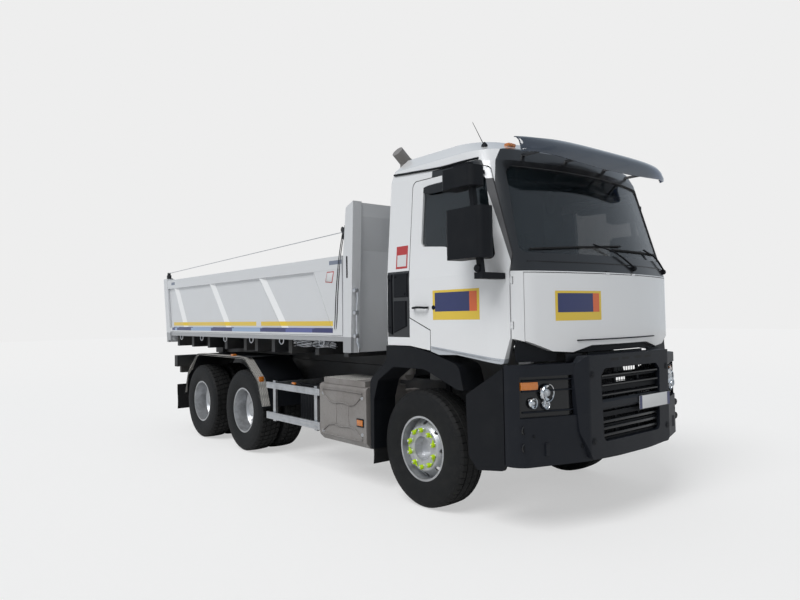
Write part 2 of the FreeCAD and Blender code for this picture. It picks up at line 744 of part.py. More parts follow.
def make_mudguards():
    """Bent sheets over the rear twins and black arches over the front wheels, with their stays."""
    top, sheet_metal = S["mudguard_top"], S["mudguard_sheet"]
    front, back = rear_axles[0] + 585, rear_axles[1] - 630
    bend_front, bend_back = rear_axles[0] + 80, rear_axles[1] - 130
    inner = S["rear_track"] / 2 - S["twin_spacing"] / 2 - S["tyre_width"] / 2 - 20
    rear = prism("rear_mudguard", "XZ", [
        (back, 594), (back + sheet_metal, 594), (back + 150 + sheet_metal, 970, 150),
        (bend_back + 4, top - sheet_metal, 150), (bend_front - 4, top - sheet_metal, 150),
        (front - 130 - sheet_metal, 970, 150), (front - sheet_metal, 620), (front, 620),
        (front - 130, 970, 164), (bend_front, top, 164), (bend_back, top, 164), (back + 150, 970, 164),
    ], -half_width + 5, -inner)
    stays = [
        rod(f"mudguard_stay_{n}", (x, -inner - 60, top - sheet_metal - 20), "Y", 25, inner - rail_out + 60)
        for n, x in enumerate((rear_axles[0] - 100, rear_axles[1] + 100))
    ]
    drops = [
        box(f"mudguard_drop_{n}", (x - 20, -rail_out - 30, S["frame_top"] - 150),
            (x + 20, -rail_out, top - 30))
        for n, x in enumerate((rear_axles[0] - 100, rear_axles[1] + 100))
    ]
    side = fuse("rear_mudguard_side", [rear] + stays + drops)
    arch = prism("front_arch", "XZ", [
        (ahead(-650), 450), (ahead(-640), 940), (ahead(-570), 1130, 60), (ahead(-330), 1275, 150),
        (ahead(120), 1275, 300), (ahead(540), 1120, 60), (ahead(615), 1120), (ahead(560), 1330, 100),
        (ahead(220), 1425, 100), (ahead(-60), 1475, 60), (ahead(-430), 1475), (ahead(-430), 1330, 60),
        (ahead(-700), 1130, 100),
        (ahead(-700), 450),
    ], -half_width + 20, -half_width + 290)
    arch_stay = box("arch_stay", (ahead(-420), -half_width + 290, 1300), (ahead(-360), -rail_out, 1360))
    arch_post = box("arch_post", (ahead(-420), -rail_out - 30, 900), (ahead(-360), -rail_out, 1300))
    arch_side = fuse("front_arch_side", [arch, arch_stay, arch_post])
    return group("mudguards", [side, mirrored("rear_mudguard_left", side),
                               arch_side, mirrored("front_arch_left", arch_side)])


def make_side_guards():
    """Two rails on each side, between the rear mudguard and the silencer or the fuel tank."""
    outer, back, post = half_width - S["guard_inset"], rear_axles[0] + 650, 60
    rails = ((505, 590), (885, 960))
    pieces = []
    for n, (low, high) in enumerate(rails):
        pieces.append(box(f"guard_rail_{n}", (back, -outer, low), (ahead(-1660), -outer + 30, high)))
    for n, x in enumerate((back + 120, ahead(-1820))):
        pieces.append(box(f"guard_post_{n}", (x, -outer + 30, 480), (x + post, -outer + 60, 980)))
        pieces.append(box(f"guard_arm_{n}", (x, -outer + 60, 900), (x + post, -rail_out, 960)))
    side = fuse("side_guard", pieces)
    left_pieces = []
    for n, (low, high) in enumerate(rails):
        left_pieces.append(box(f"left_rail_{n}", (back, outer - 30, low), (ahead(-1980), outer, high)))
    for n, x in enumerate((back + 120, ahead(-2140))):
        left_pieces.append(box(f"left_post_{n}", (x, outer - 60, 480), (x + post, outer - 30, 980)))
        left_pieces.append(box(f"left_arm_{n}", (x, rail_out, 900), (x + post, outer - 60, 960)))
    return group("side_guards", [side, fuse("side_guard_left", left_pieces)])


def make_underrun():
    """The rear under-run bar, its two legs from the frame and the lamp boxes above it."""
    back = rear_axles[1] - S["rail_rear"]
    bar = box("underrun_bar", (back - 60, -1150, 450), (back + 40, 1150, 570))
    leg = box("underrun_leg", (back - 40, -rail_out - 20, 570), (back + 120, -rail_out, 1000))
    arm = box("lamp_arm", (back - 40, -1000, 940), (back + 20, -rail_out - 20, 1000))
    lamp = box("lamp_box", (back - 60, -1230, 1000), (back + 60, -880, 1180))
    lower = box("lamp_lower", (back - 40, -1150, 900), (back + 40, -950, 1000))
    side = fuse("underrun_side", [leg, arm, lamp, lower])
    return fuse("underrun", [bar, side, mirrored("underrun_side_left", side)])


def bumper_plan(inset):
    """Half-rounded plan of the bumper, from the left rear corner round to the right."""
    side, front, corner = half_width - 25 - inset, ahead(S["front_overhang"]) - inset, ahead(1060)
    return [
        (corner, side), (corner, -side), (front - 250, -side, 150), (front - 50, -side + 600, 400),
        (front, -250, 1500), (front, 250, 1500), (front - 50, side - 600, 400), (front - 250, side, 150),
    ]


def make_bumper():
    """The bumper's shell with its mouth and lamp openings, and the beam that carries it."""
    low, top, frame_top = S["bumper_bottom"], S["bumper_top"], S["frame_height"]
    front = ahead(S["front_overhang"])
    outer = prism("bumper_outer", "XY", bumper_plan(0), low, top)
    inner = prism("bumper_inner", "XY", bumper_plan(S["bumper_wall"]), low - 10, top + 10)
    back = box("bumper_open", (ahead(900), -half_width, low - 10), (ahead(1062), half_width, top + 10))
    half, lamp_in, lamp_out = S["grille_half_width"], S["lamp_inner"], half_width - S["lamp_margin"]
    tools = [
        inner, back,
        box("bumper_mouth", (ahead(1200), -half, S["grille_bottom"]), (ahead(1500), half, S["grille_top"])),
    ]
    for side, (start, end) in (("right", (-lamp_out, -lamp_in)), ("left", (lamp_in, lamp_out))):
        tools.append(box(f"bumper_lamp_{side}", (ahead(1040), start, S["lamp_bottom"]),
                         (ahead(1500), end, S["lamp_top"])))
    tread = prism("bumper_frame_plan", "XY", [
        (ahead(1300), -740), (ahead(1360), -740), (ahead(1442), -630, 70), (front, -300, 900),
        (front, 300, 900),
        (ahead(1442), 630, 70), (ahead(1360), 740), (ahead(1300), 740),
    ], low, 1450)
    ring = prism("bumper_frame_form", "YZ", [
        (-600, low + 15, 40), (600, low + 15, 40), (700, 800, 200), (735, 1330, 60), (640, frame_top, 40),
        (-640, frame_top, 40), (-735, 1330, 60), (-700, 800, 200),
    ], ahead(1340), front)
    mouth = prism("bumper_frame_mouth", "YZ", [
        (-440, 700, 50), (440, 700, 50), (465, 1240, 50), (410, 1300, 50), (-410, 1300, 50), (-465, 1240, 50),
    ], ahead(1330), front + 10)
    behind = box("bumper_frame_back", (ahead(1330), -half, S["grille_bottom"]),
                 (ahead(1406), half, S["grille_top"]))
    bar = prism("bumper_cross_bar", "XZ", [
        (ahead(1406), 955), (ahead(1425), 955), (ahead(1440), 975), (ahead(1440), 1020), (ahead(1425), 1040),
        (ahead(1406), 1040),
    ], -half + 20, half - 20)
    shelf = box("bumper_shelf", (ahead(1110), -1200, top - 20), (ahead(1380), -520, top))
    pieces = [
        cut("bumper_shell", outer, tools),
        cut("bumper_frame", common("bumper_frame_block", ring, tread), [mouth, behind]),
        bar, common("bumper_shelf_cut", shelf, outer),
        mirrored("bumper_shelf_left", common("bumper_shelf_right", shelf, outer)),
        box("bumper_beam", (ahead(S["rail_front"]), -rail_out, rail_bottom - 100),
            (ahead(S["rail_front"] + 60), rail_out, rail_bottom + 60)),
        box("bumper_cross", (ahead(S["rail_front"]), -1000, rail_bottom - 150),
            (ahead(S["rail_front"] + 60), 1000, rail_bottom - 50)),
    ]
    for side, (start, end) in (("right", (-640, -560)), ("left", (560, 640))):
        pieces.append(box(f"bumper_link_{side}", (ahead(S["rail_front"] + 30), start, rail_bottom - 140),
                          (ahead(1345), end, rail_bottom - 60)))
    return fuse("bumper", pieces)


def make_grille():
    """The cross-bars of the grille on four upright posts, between the sides of the bumper's mouth."""
    half, low, high = S["grille_half_width"], S["grille_bottom"], S["grille_top"]
    bars = []
    for n in range(6):
        bar = low + 40 + n * 105
        bars.append(box(f"grille_bar_{n}", (ahead(1375), -half, bar), (ahead(1405), half, bar + 40)))
    for n, y in enumerate((-half, -180, 180, half - 30)):
        bars.append(box(f"grille_post_{n}", (ahead(1372), y, low), (ahead(1385), y + 30, high)))
    return fuse("grille", bars)


def make_headlamps():
    """A lamp unit on each side, seated in the bumper's opening."""
    gap = S["glass_gap"]
    out, inside = -half_width + S["lamp_margin"] + gap, -S["lamp_inner"] - gap
    lamp = prism("headlamp", "XY", [
        (ahead(1110), out), (ahead(1170), out, 60), (ahead(1330), -760, 100), (ahead(1340), inside),
        (ahead(1250), inside), (ahead(1250), -760, 60), (ahead(1110), -1000),
    ], S["lamp_bottom"] + gap, S["lamp_top"] - gap)
    return pair("headlamps", lamp)


def make_steps():
    """The black entry steps beside the bumper, two treads in a side panel."""
    outer, inner = -half_width + 22, -half_width + 250
    panel = prism("step_panel", "XZ", [
        (ahead(760), 480, 40), (ahead(660), 583, 40), (ahead(640), 1000, 60), (ahead(640), 1090),
        (ahead(1055), 1330),
        (ahead(1055), 520, 40),
    ], outer, outer + 30)
    treads = [
        box(f"step_tread_{n}", (ahead(690), outer + 30, low), (ahead(1055), inner, low + 40))
        for n, low in enumerate((560, 900))
    ]
    post = box("step_post", (ahead(800), inner, 560), (ahead(895), inner + 30, 940))
    arm = box("step_arm", (ahead(820), inner + 30, rail_bottom + 5),
              (ahead(880), -rail_out, rail_bottom + 60))
    return pair("steps", fuse("step_side", [panel, post, arm] + treads))


def cab_section(body, height, half, front, inset, tail=0):
    """One outline of the cab's loft, drawn with a bowed front between two round corners."""
    sketch = body.newObject("Sketcher::SketchObject", f"{body.Name}_section")
    sketch.AttachmentSupport = [(origin_feature(body, "XY_Plane"), "")]
    sketch.MapMode = "FlatFace"
    bind(sketch, "AttachmentOffset.Base.z", height)
    side, nose, back = half - inset, ahead(front) - inset, ahead(-S["cab_rear"]) + inset + tail
    corner, bow = S["cab_corner"] - inset, S["cab_bow"] - inset
    bow_centre = nose - bow
    reach_y = side - corner
    spread = ((bow - corner) * (bow - corner) - reach_y * reach_y).root()
    corner_x = bow_centre + spread
    ratio = bow / (bow - corner)
    touch = (bow_centre + spread * ratio, reach_y * ratio)
    points = [
        (back, side), (corner_x, side), touch, (touch[0], -touch[1]), (corner_x, -side), (back, -side),
    ]
    vertices = [FreeCAD.Vector(value_of(x), value_of(y), 0) for x, y in points]
    centres = {
        1: FreeCAD.Vector(corner_x.value, reach_y.value, 0),
        2: FreeCAD.Vector(bow_centre.value, 0, 0),
        3: FreeCAD.Vector(corner_x.value, -reach_y.value, 0),
    }
    edges, ends, rules, ties = [], [], [], []
    for index in range(6):
        start, end = vertices[index], vertices[(index + 1) % 6]
        shape, first = Part.LineSegment(start, end), 1
        if index in centres:
            shape, first = short_arc(centres[index], start, end)
        edges.append(sketch.addGeometry(shape, False))
        ends.append((first, 3 - first))
    for index, edge in enumerate(edges):
        rules.append(Sketcher.Constraint("Coincident", edges[index - 1], ends[index - 1][1], edge,
                                         ends[index][0]))
        for kind, number in zip(("DistanceX", "DistanceY"), points[index]):
            ties.append((len(rules), number.text))
            rules.append(Sketcher.Constraint(kind, -1, 1, edge, ends[index][0], number.value))
    for index, radius in ((1, corner), (2, bow), (3, corner)):
        ties.append((len(rules), radius.text))
        rules.append(Sketcher.Constraint("Radius", edges[index], radius.value))
    sketch.addConstraint(rules)
    for number, text in ties:
        sketch.setExpression(f"Constraints[{number}]", text)
    return sketch


def cab_loft(name, inset, low, high_drop):
    """The cab's outer form, or its inner form when it is set in by the wall."""
    body = doc.addObject("PartDesign::Body", name)
    wide, narrow = S["cab_half_width"], S["cab_top_half_width"]
    front, top_front = S["cab_front"], S["cab_top_front"]
    roof = S["cab_roof"] - high_drop
    sections = [
        cab_section(body, low, wide, front, inset),
        cab_section(body, S["cab_belt"], wide, front, inset),
        cab_section(body, S["cab_shoulder"], narrow, top_front, inset),
        cab_section(body, S["cab_shoulder"] + 110, narrow - 35, top_front - 60, inset, 10),
        cab_section(body, roof, narrow - S["roof_inset"], top_front - 330, inset, 60),
    ]
    loft = body.newObject("PartDesign::AdditiveLoft", name + "_loft")
    loft.Profile = sections[0]
    loft.Sections = sections[1:]
    loft.Ruled = True
    return body


def door_outline(grow):
    """Side view of the door, grown outwards for the gap round it."""
    front, rear = ahead(S["door_front"]), ahead(-S["door_rear"])
    return [
        (front - 250 + grow, S["door_top"] + grow, 60), (rear - grow, S["door_top"] + grow, 60),
        (rear - grow, 1745 - grow), (ahead(225) - grow, 1631 - grow), (ahead(225) - grow, 1440 - grow),
        (ahead(330), 1413 - grow), (ahead(555), 1420 - grow), (ahead(1045) + grow, 1358 - grow, 20),
        (front + grow, 1572), (front + grow, S["cab_waist"]),
    ]


def glass_outline(grow):
    """Side view of the door's window."""
    return [
        (ahead(90) - grow, 2930 + grow, 50), (ahead(830) + grow, 2930 + grow, 50),
        (ahead(990) + grow, 2210 - grow, 40), (ahead(700), 2225 - grow, 200), (ahead(420), 2360 - grow, 200),
        (ahead(90) - grow, 2390 - grow, 50),
    ]


def windscreen_outline(grow):
    """Front view of the windscreen as (y, z)."""
    return [
        (-1085 - grow, 2255 - grow, 60), (1085 + grow, 2255 - grow, 60), (1010 + grow, 3010 + grow, 80),
        (-1010 - grow, 3010 + grow, 80),
    ]


def make_cab():
    """The hollow cab with its doors, windscreen and front hatch, all cut from one skin."""
    wall = S["cab_wall"]
    outer = cab_loft("cab_outer_form", 0, S["cab_skirt"], 0)
    inner = cab_loft("cab_inner_form", wall, S["cab_skirt"] - 10, wall)
    skin = cut("cab_skin", outer, [inner])
    wide = half_width + 10

    door_hole = prism("door_hole", "XZ", door_outline(S["door_gap"]), -wide, -half_width + 300)
    door_form = prism("door_form", "XZ", door_outline(0), -wide, -half_width + 300)
    window = prism("door_window", "XZ", glass_outline(0), -wide, -half_width + 300)
    door_skin = common("door_skin", skin, door_form)
    pane = prism("door_pane_form", "XZ", glass_outline(-S["glass_gap"]), -wide, -half_width + 300)
    pane_outer = cab_loft("pane_outer_form", 20, S["cab_skirt"], 20)
    pane_inner = cab_loft("pane_inner_form", 20 + S["glass_thickness"], S["cab_skirt"] - 10, 28)
    pane_skin = cut("pane_skin", pane_outer, [pane_inner])
    glass_right = common("door_glass_right", pane_skin, pane)

    screen_hole = prism("screen_hole", "YZ", windscreen_outline(0), ahead(700), ahead(1500))
    screen_form = prism("screen_form", "YZ", windscreen_outline(-S["glass_gap"]), ahead(700), ahead(1500))
    windscreen = common("windscreen", pane_skin, screen_form)

    hatch_half, hatch_top, hatch_gap = S["hatch_half_width"], S["cab_belt"] - 10, S["hatch_gap"]
    hatch_hole = box("hatch_hole", (ahead(1100), -hatch_half - hatch_gap, S["cab_skirt"] - 10),
                     (ahead(1500), hatch_half + hatch_gap, hatch_top + hatch_gap))
    hatch_form = prism("hatch_form", "YZ", [
        (-hatch_half, 1545), (-850, 1455), (-650, 1440), (-430, 1490), (430, 1490), (650, 1440),
        (850, 1455), (hatch_half, 1545), (hatch_half, hatch_top), (-hatch_half, hatch_top),
    ], ahead(1100), ahead(1500))
    hatch_panel = common("hatch_panel", skin, hatch_form)

    belly = prism("cab_belly", "XZ", [
        (ahead(-S["cab_rear"] - 10), 1200), (ahead(1500), 1200), (ahead(1500), 1300),
        (ahead(560), 1427 - S["door_gap"]), (ahead(330), 1427 - S["door_gap"]), (ahead(220), 1447),
        (ahead(-60), 1483), (ahead(-S["cab_rear"] - 10), 1483),
    ], -wide, wide)
    chin = prism("cab_chin", "YZ", [
        (-wide, 1200), (wide, 1200), (wide, 1575), (1150, 1560), (850, 1450), (-850, 1450), (-1150, 1560),
        (-wide, 1575),
    ], ahead(1040), ahead(1500))

    pin, knuckle, clear = S["hinge_pin_radius"], S["hinge_knuckle_radius"], S["bearing_gap"]
    door_axis = (ahead(S["door_front"]) + S["hinge_ahead"], S["hinge_inset"] - S["door_edge_y"])
    door_pockets, door_pins, door_lugs, door_bores = [], [], [], []
    for n, low in enumerate((1640, 2000)):
        door_pockets.append(rod(f"door_pocket_{n}", (*door_axis, low), "Z", knuckle + 5, 60))
        door_pins.append(rod(f"door_pin_{n}", (*door_axis, low - 10), "Z", pin, 80))
        knob = rod(f"door_knuckle_{n}", (*door_axis, low + 5), "Z", knuckle, 50)
        web = box(f"door_knuckle_web_{n}", (door_axis[0] - 35, door_axis[1], low + 5),
                  (door_axis[0], door_axis[1] + knuckle, low + 55))
        door_lugs += [knob, web]
        door_bores.append(rod(f"door_bore_{n}", (*door_axis, low), "Z", pin + clear, 60))
    door_side = fuse("door_frame", [door_skin, *door_lugs])
    door_right = cut("door_right", door_side, [window, *door_bores])

    hatch_axis = (ahead(S["cab_front"]) - 8, hatch_top + 11)
    hatch_pockets, hatch_pins, hatch_lugs, hatch_bores = [], [], [], []
    for n, y in enumerate((-230, 170)):
        hatch_pockets.append(rod(f"hatch_pocket_{n}", (hatch_axis[0], y, hatch_axis[1]), "Y", knuckle + 5,
                                 60))
        hatch_pins.append(rod(f"hatch_pin_{n}", (hatch_axis[0], y - 10, hatch_axis[1]), "Y", pin, 80))
        hatch_lugs.append(rod(f"hatch_knuckle_{n}", (hatch_axis[0], y + 5, hatch_axis[1]), "Y", knuckle, 50))
        hatch_lugs.append(box(f"hatch_knuckle_web_{n}", (hatch_axis[0] - knuckle, y + 5, hatch_top - 20),
                              (hatch_axis[0], y + 55, hatch_axis[1])))
        hatch_bores.append(rod(f"hatch_bore_{n}", (hatch_axis[0], y, hatch_axis[1]), "Y", pin + clear, 60))
    hatch_side = fuse("hatch_frame", [hatch_panel, *hatch_lugs])
    front_hatch = cut("front_hatch", hatch_side, hatch_bores)

    relief = prism("door_relief", "XY", [
        (ahead(1095), -1168), (ahead(1116), -1168), (ahead(1116), -1200), (ahead(1095), -1200),
    ], S["cab_skirt"], S["cab_waist"])
    pockets = fuse("door_pockets", [relief, *door_pockets])
    holes = [door_hole, mirrored("door_hole_left", door_hole), screen_hole, hatch_hole, belly, chin,
             pockets, mirrored("door_pockets_left", pockets), *hatch_pockets]
    walls = cut("cab_walls", skin, holes)
    pins = fuse("door_pins", door_pins)
    # The floor and bulkhead close the cab behind the hatch
    side = S["cab_half_width"] - wall - 30
    floor = box("cab_floor_plate", (ahead(-S["cab_rear"]) + wall - 5, -side, S["cab_floor"]),
                (ahead(990), side, S["cab_floor"] + 60))
    bulkhead = box("cab_bulkhead", (ahead(950), -side, S["cab_floor"] + 60),
                   (ahead(990), side, S["cab_belt"]))
    shelf = box("cowl_block", (ahead(950), -side + 105, S["cab_belt"]),
                (ahead(1400), side - 105, S["cab_belt"] + 50))
    cowl = common("cab_cowl", inner, shelf)
    brackets = [
        box(f"visor_bracket_{n}", (ahead(890), y, 3112), (visor_face - S["glass_gap"], y + 30, 3133))
        for n, y in enumerate((-815, -315, 285, 785))
    ]
    arms = []
    for hand in (-1, 1):
        low, high = (rail_out + 25, rail_out + 69) if hand > 0 else (-rail_out - 69, -rail_out - 25)
        eye = (ahead(S["pivot_ahead"]), S["pivot_height"])
        arm = prism(f"cab_arm_{hand + 1}", "XZ", [
            (eye[0] + 45, eye[1] - 45, 40), (eye[0] + 45, eye[1] + 45, 40), (ahead(740), 1100),
            (ahead(740), S["cab_floor"]),
            (ahead(600), S["cab_floor"]), (ahead(600), 1000, 60), (eye[0] - 80, eye[1] - 45),
        ], low, high)
        bore = rod(f"cab_arm_bore_{hand + 1}", (eye[0], low - 5, eye[1]), "Y",
                   S["pivot_radius"] + S["bearing_gap"], 60)
        arms.append(cut(f"cab_arm_cut_{hand + 1}", arm, [bore]))
    carried = [pins, mirrored("door_pins_left", pins), *hatch_pins, *brackets]
    shell = fuse("cab_shell", [walls, floor, bulkhead, cowl, *arms, *carried])
    nodes = [
        shell, windscreen, front_hatch, door_right, mirrored("door_left", door_right), glass_right,
        mirrored("door_glass_left", glass_right),
    ]
    return nodes, cab_loft("mirror_seat_form", -S["glass_gap"], S["cab_skirt"], -S["glass_gap"])


def make_visor():
    """The dark visor over the windscreen, a shell that curves down at the front and back at its ends."""
    shell = prism("visor_shell", "XZ", [
        (visor_back, 3205), (ahead(1230), 3178, 150), (visor_face, 3138), (visor_face, 3107),
        (ahead(1345), 3005), (ahead(1362), 3005), (ahead(1322), 3112, 110), (ahead(1318), 3145, 80),
        (ahead(1235), 3205, 170), (visor_back, 3232),
    ], -1080, 1080)
    plan = prism("visor_plan", "XY", [
        (visor_back - 10, -1080), (ahead(1180), -1080, 120), (ahead(1370), -860, 300),
        (ahead(1370), 860, 300),
        (ahead(1180), 1080, 120), (visor_back - 10, 1080),
    ], 2990, 3250)
    return common("sun_visor", shell, plan)


def make_cab_inside():
    floor = S["cab_floor"] + 60
    board = prism("dash_board", "XZ", [
        (ahead(950), floor + 250), (ahead(950), 2090), (ahead(800), 2090, 60), (ahead(650), 1980, 60),
        (ahead(700), floor + 250),
    ], -1050, 1050)
    column = rod("steering_column", (ahead(550), 600, 1930), "X", 35, 160)
    wheel = doc.addObject("Part::Torus", "steering_ring")
    wheel.Radius1 = 220
    wheel.Radius2 = 18
    place(wheel, ahead(545), 600, 1960, turn=FreeCAD.Rotation(FreeCAD.Vector(0, 1, 0), -50))
    spoke = box("steering_spoke", (ahead(530), 380, 1940), (ahead(580), 820, 1975))
    dashboard = fuse("dashboard", [board, column, wheel, spoke])
    seats = []
    for n, y in enumerate((-600, 600)):
        base = box(f"seat_base_{n}", (ahead(-50), y - 180, floor), (ahead(300), y + 180, floor + 300))
        cushion = prism(f"seat_form_{n}", "XZ", [
            (ahead(-130), floor + 300, 40), (ahead(380), floor + 300, 50), (ahead(380), floor + 430, 50),
            (ahead(20), floor + 420, 60),
            (ahead(-80), floor + 1120, 50), (ahead(-200), floor + 1120, 50),
        ], y - 250, y + 250)
        seats.append(fuse(f"seat_{n}", [base, cushion]))
    return dashboard, group("seats", seats)


def make_mirror(name, back, cab_form):
    """The two mirror heads of the right side on their tube arm, carried by the door."""
    def ahead(distance):
        return front_axle + distance - back

    y = -half_width - 200
    head = prism("mirror_head", "XY", [
        (ahead(730), y - 90, 50), (ahead(1140), y - 90, 60), (ahead(1170), y + 60, 60),
        (ahead(760), y + 90, 40),
    ], 2200, 2600)
    small = prism("mirror_small", "XY", [
        (ahead(690), y - 90, 50), (ahead(1050), y - 90, 60), (ahead(1085), y + 60, 60),
        (ahead(720), y + 90, 40),
    ], 2770, 2930)
    tube = prism("mirror_tube", "XZ", [
        (ahead(1040), 2040), (ahead(1085), 2040), (ahead(970), 2970), (ahead(930), 2970),
    ], y - 22, y + 22)
    lower = box("mirror_lower_arm", (ahead(1000), y - 22, 2040), (ahead(1085), -S["door_edge_y"] - 30, 2090))
    upper_run = box("mirror_upper_run", (ahead(790), y - 22, 2940), (ahead(960), y + 22, 2970))
    upper = box("mirror_upper_arm", (ahead(790), y - 22, 2940),
                (ahead(830), -S["cab_top_half_width"] + 20, 2970))
    whole = fuse("mirror_form", [head, small, tube, lower, upper_run, upper])
    return cut(name, whole, [cab_form])


def make_bed_floor():
    """The bed's floor plate and the two rear posts."""
    plate = box("floor_plate", (floor_back, -floor_side, floor_low),
                (floor_front, floor_side, S["floor_top"]))
    post = make_rear_post()
    return fuse("bed_floor", [plate, post, mirrored("rear_post_left", post)])


def make_bed_frame():
    """The frame under the floor: two beams, the cross-members, the hinge ears and the cylinder's cup."""
    side, member = floor_side - S["member_inset"], 80
    beam = box("floor_beam", (floor_back, -rail_out, S["frame_top"] + S["subframe_height"] + S["bed_gap"]),
               (floor_front + 100, -rail_in, S["cross_member_height"]))
    pieces = [beam, mirrored("floor_beam_left", beam)]
    x, eye = rear_axles[0] + S["cylinder_lead"], S["cylinder_eye_height"]
    stations = [bed_back + step for step in (160, 765, 1370, 1975)]
    stations += [x - 555, x - member - 150, x + 230, x + 655, floor_front - 700, floor_front - 120]
    for n, station in enumerate(stations):
        pieces.append(box(f"floor_member_{n}", (station, -side, S["cross_member_height"]),
                          (station + member, side, floor_low)))
    ear_low = rail_out + 30
    ear = prism("bed_ear", "XZ", [
        (bed_hinge - 60, S["bed_hinge_height"] - 50, 45), (bed_hinge + 60, S["bed_hinge_height"] - 50, 45),
        (bed_hinge + 110, S["cross_member_height"]), (bed_hinge - 110, S["cross_member_height"]),
    ], -ear_low - 35, -ear_low)
    hole = rod("bed_ear_bore", (bed_hinge, -ear_low - 45, S["bed_hinge_height"]), "Y",
               S["bed_pin_radius"] + S["bearing_gap"], 60)
    hinge = cut("bed_ear_cut", ear, [hole])
    header = box("bed_ear_header", (bed_hinge - 110, -ear_low - 35, S["cross_member_height"]),
                 (bed_hinge + 110, -rail_in, floor_low))
    hinge_side = fuse("bed_hinge_side", [hinge, header])
    cup = box("socket_block", (x - 150, -120, eye + 32), (x + 230, 120, floor_low))
    hollow = doc.addObject("Part::Sphere", "socket_hollow")
    bind(hollow, "Radius", S["ball_radius"] + S["glass_gap"])
    place(hollow, x, 0, eye)
    corners = [hinge_side, mirrored("bed_hinge_left", hinge_side)]
    return fuse("bed_frame", pieces + corners + [cut("socket", cup, [hollow])])


def make_headboard():
    """The tall front wall with its leaning upper part and its two box posts."""
    front = ahead(-S["bed_front"])
    low, crease, high = S["headboard_underside"], 2460, S["headboard_height"]
    lean = S["headboard_lean"]
    post = prism("headboard_post", "XZ", [
        (front - S["headboard_depth"], low), (front, low), (front + 50, crease), (front + lean, high),
        (front - 60, high - 55), (front - S["headboard_depth"] + 20, crease - 40),
    ], -half_width, -half_width + 110)
    wall = prism("headboard_wall", "XZ", [
        (front - S["headboard_depth"], low), (front - 40, low), (front - 20, crease),
        (front + lean - 20, high - 150),
        (front + lean - 10, high - 10), (front - 30, high - 40), (front - 60, crease - 20),
        (front - S["headboard_depth"], 1620),
    ], -half_width + 110, half_width - 110)
    pin = rod("front_swing_pin",
              (front - S["headboard_depth"] - S["side_gap"] - 50, -board_hinge_y, board_hinge_z), "X",
              S["swing_pin_radius"], 90 + S["side_gap"])
    side = fuse("headboard_side", [post, pin])
    return fuse("headboard", [side, mirrored("headboard_side_left", side), wall])


def tail_line(height):
    """Where the front face of the tail wall stands at a height."""
    return bed_back - tail_slope * (height - tail_low)


board_hinge_y = half_width - 60
board_hinge_z = S["side_top"] - 30
tail_hinge = (tail_line(tail_top) + 35, tail_top - 12)


def make_rear_post():
    """A leaning corner post on the right, with the pins of the side board and the tail wall."""
    low, high = S["floor_underside"], tail_top
    depth = S["post_depth"]
    post = prism("rear_post", "XZ", [
        (tail_line(low) + 6, low), (tail_line(high) + 6, high), (tail_line(high) + 6 + depth, high),
        (tail_line(low) + 6 + depth, low),
    ], -half_width, -half_width + S["post_width"])
    swing_pin = rod("rear_swing_pin",
                    (tail_line(board_hinge_z) + depth - 10, -board_hinge_y, board_hinge_z), "X",
                    S["swing_pin_radius"], 80)
    tail_pin = rod("tail_pin", (tail_hinge[0], -half_width + S["post_width"] - 10, tail_hinge[1]), "Y",
                   S["swing_pin_radius"], 60)
    return fuse("rear_post_right", [post, swing_pin, tail_pin])


def make_tailgate():
    """The slanted tail wall, hung by two ears from the pins of the rear posts."""
    thick = S["tail_thickness"]
    wall = prism("tail_wall", "XZ", [
        (tail_line(tail_low), tail_low), (tail_line(tail_top), tail_top), (tail_back, tail_top),
        (tail_line(tail_low) - thick, tail_low),
    ], -half_width + 2, half_width - 2)
    low, high = -half_width + S["post_width"] + 8, -half_width + S["post_width"] + 38
    ear = rod("tail_ear", (tail_hinge[0], low, tail_hinge[1]), "Y", 30, high - low)
    web = prism("tail_ear_web", "XZ", [
        (tail_line(tail_top - 120) - 5, tail_top - 120), (tail_line(tail_top) - 5, tail_top - 3),
        (tail_hinge[0], tail_hinge[1] + 28), (tail_hinge[0] + 25, tail_hinge[1] - 15),
    ], low, high)
    bore = rod("tail_ear_bore", (tail_hinge[0], low - 10, tail_hinge[1]), "Y",
               S["swing_pin_radius"] + S["bearing_gap"], 60)
    side = cut("tail_ear_cut", fuse("tail_ear_form", [ear, web]), [bore])
    return fuse("tailgate", [wall, side, mirrored("tail_ear_left", side)])


def leaning_rib(name, outer, fronts, widths, slope):
    """A pressed rib between the foot and the top rail; values are given at its lower and its upper end."""
    body = doc.addObject("PartDesign::Body", name)
    sections = []
    for height, front, width in zip((S["floor_top"] + S["bed_gap"] + 64, S["side_top"] - 139), fronts,
                                    widths):
        sections.append(new_sketch(body, "XY", [
            (front - width - 60, outer + 31), (front - width, outer + 2), (front - slope, outer + 2),
            (front, outer + 31),
        ], height))
    loft = body.newObject("PartDesign::AdditiveLoft", name + "_loft")
    loft.Profile = sections[0]
    loft.Sections = sections[1:]
    loft.Ruled = True
    return body


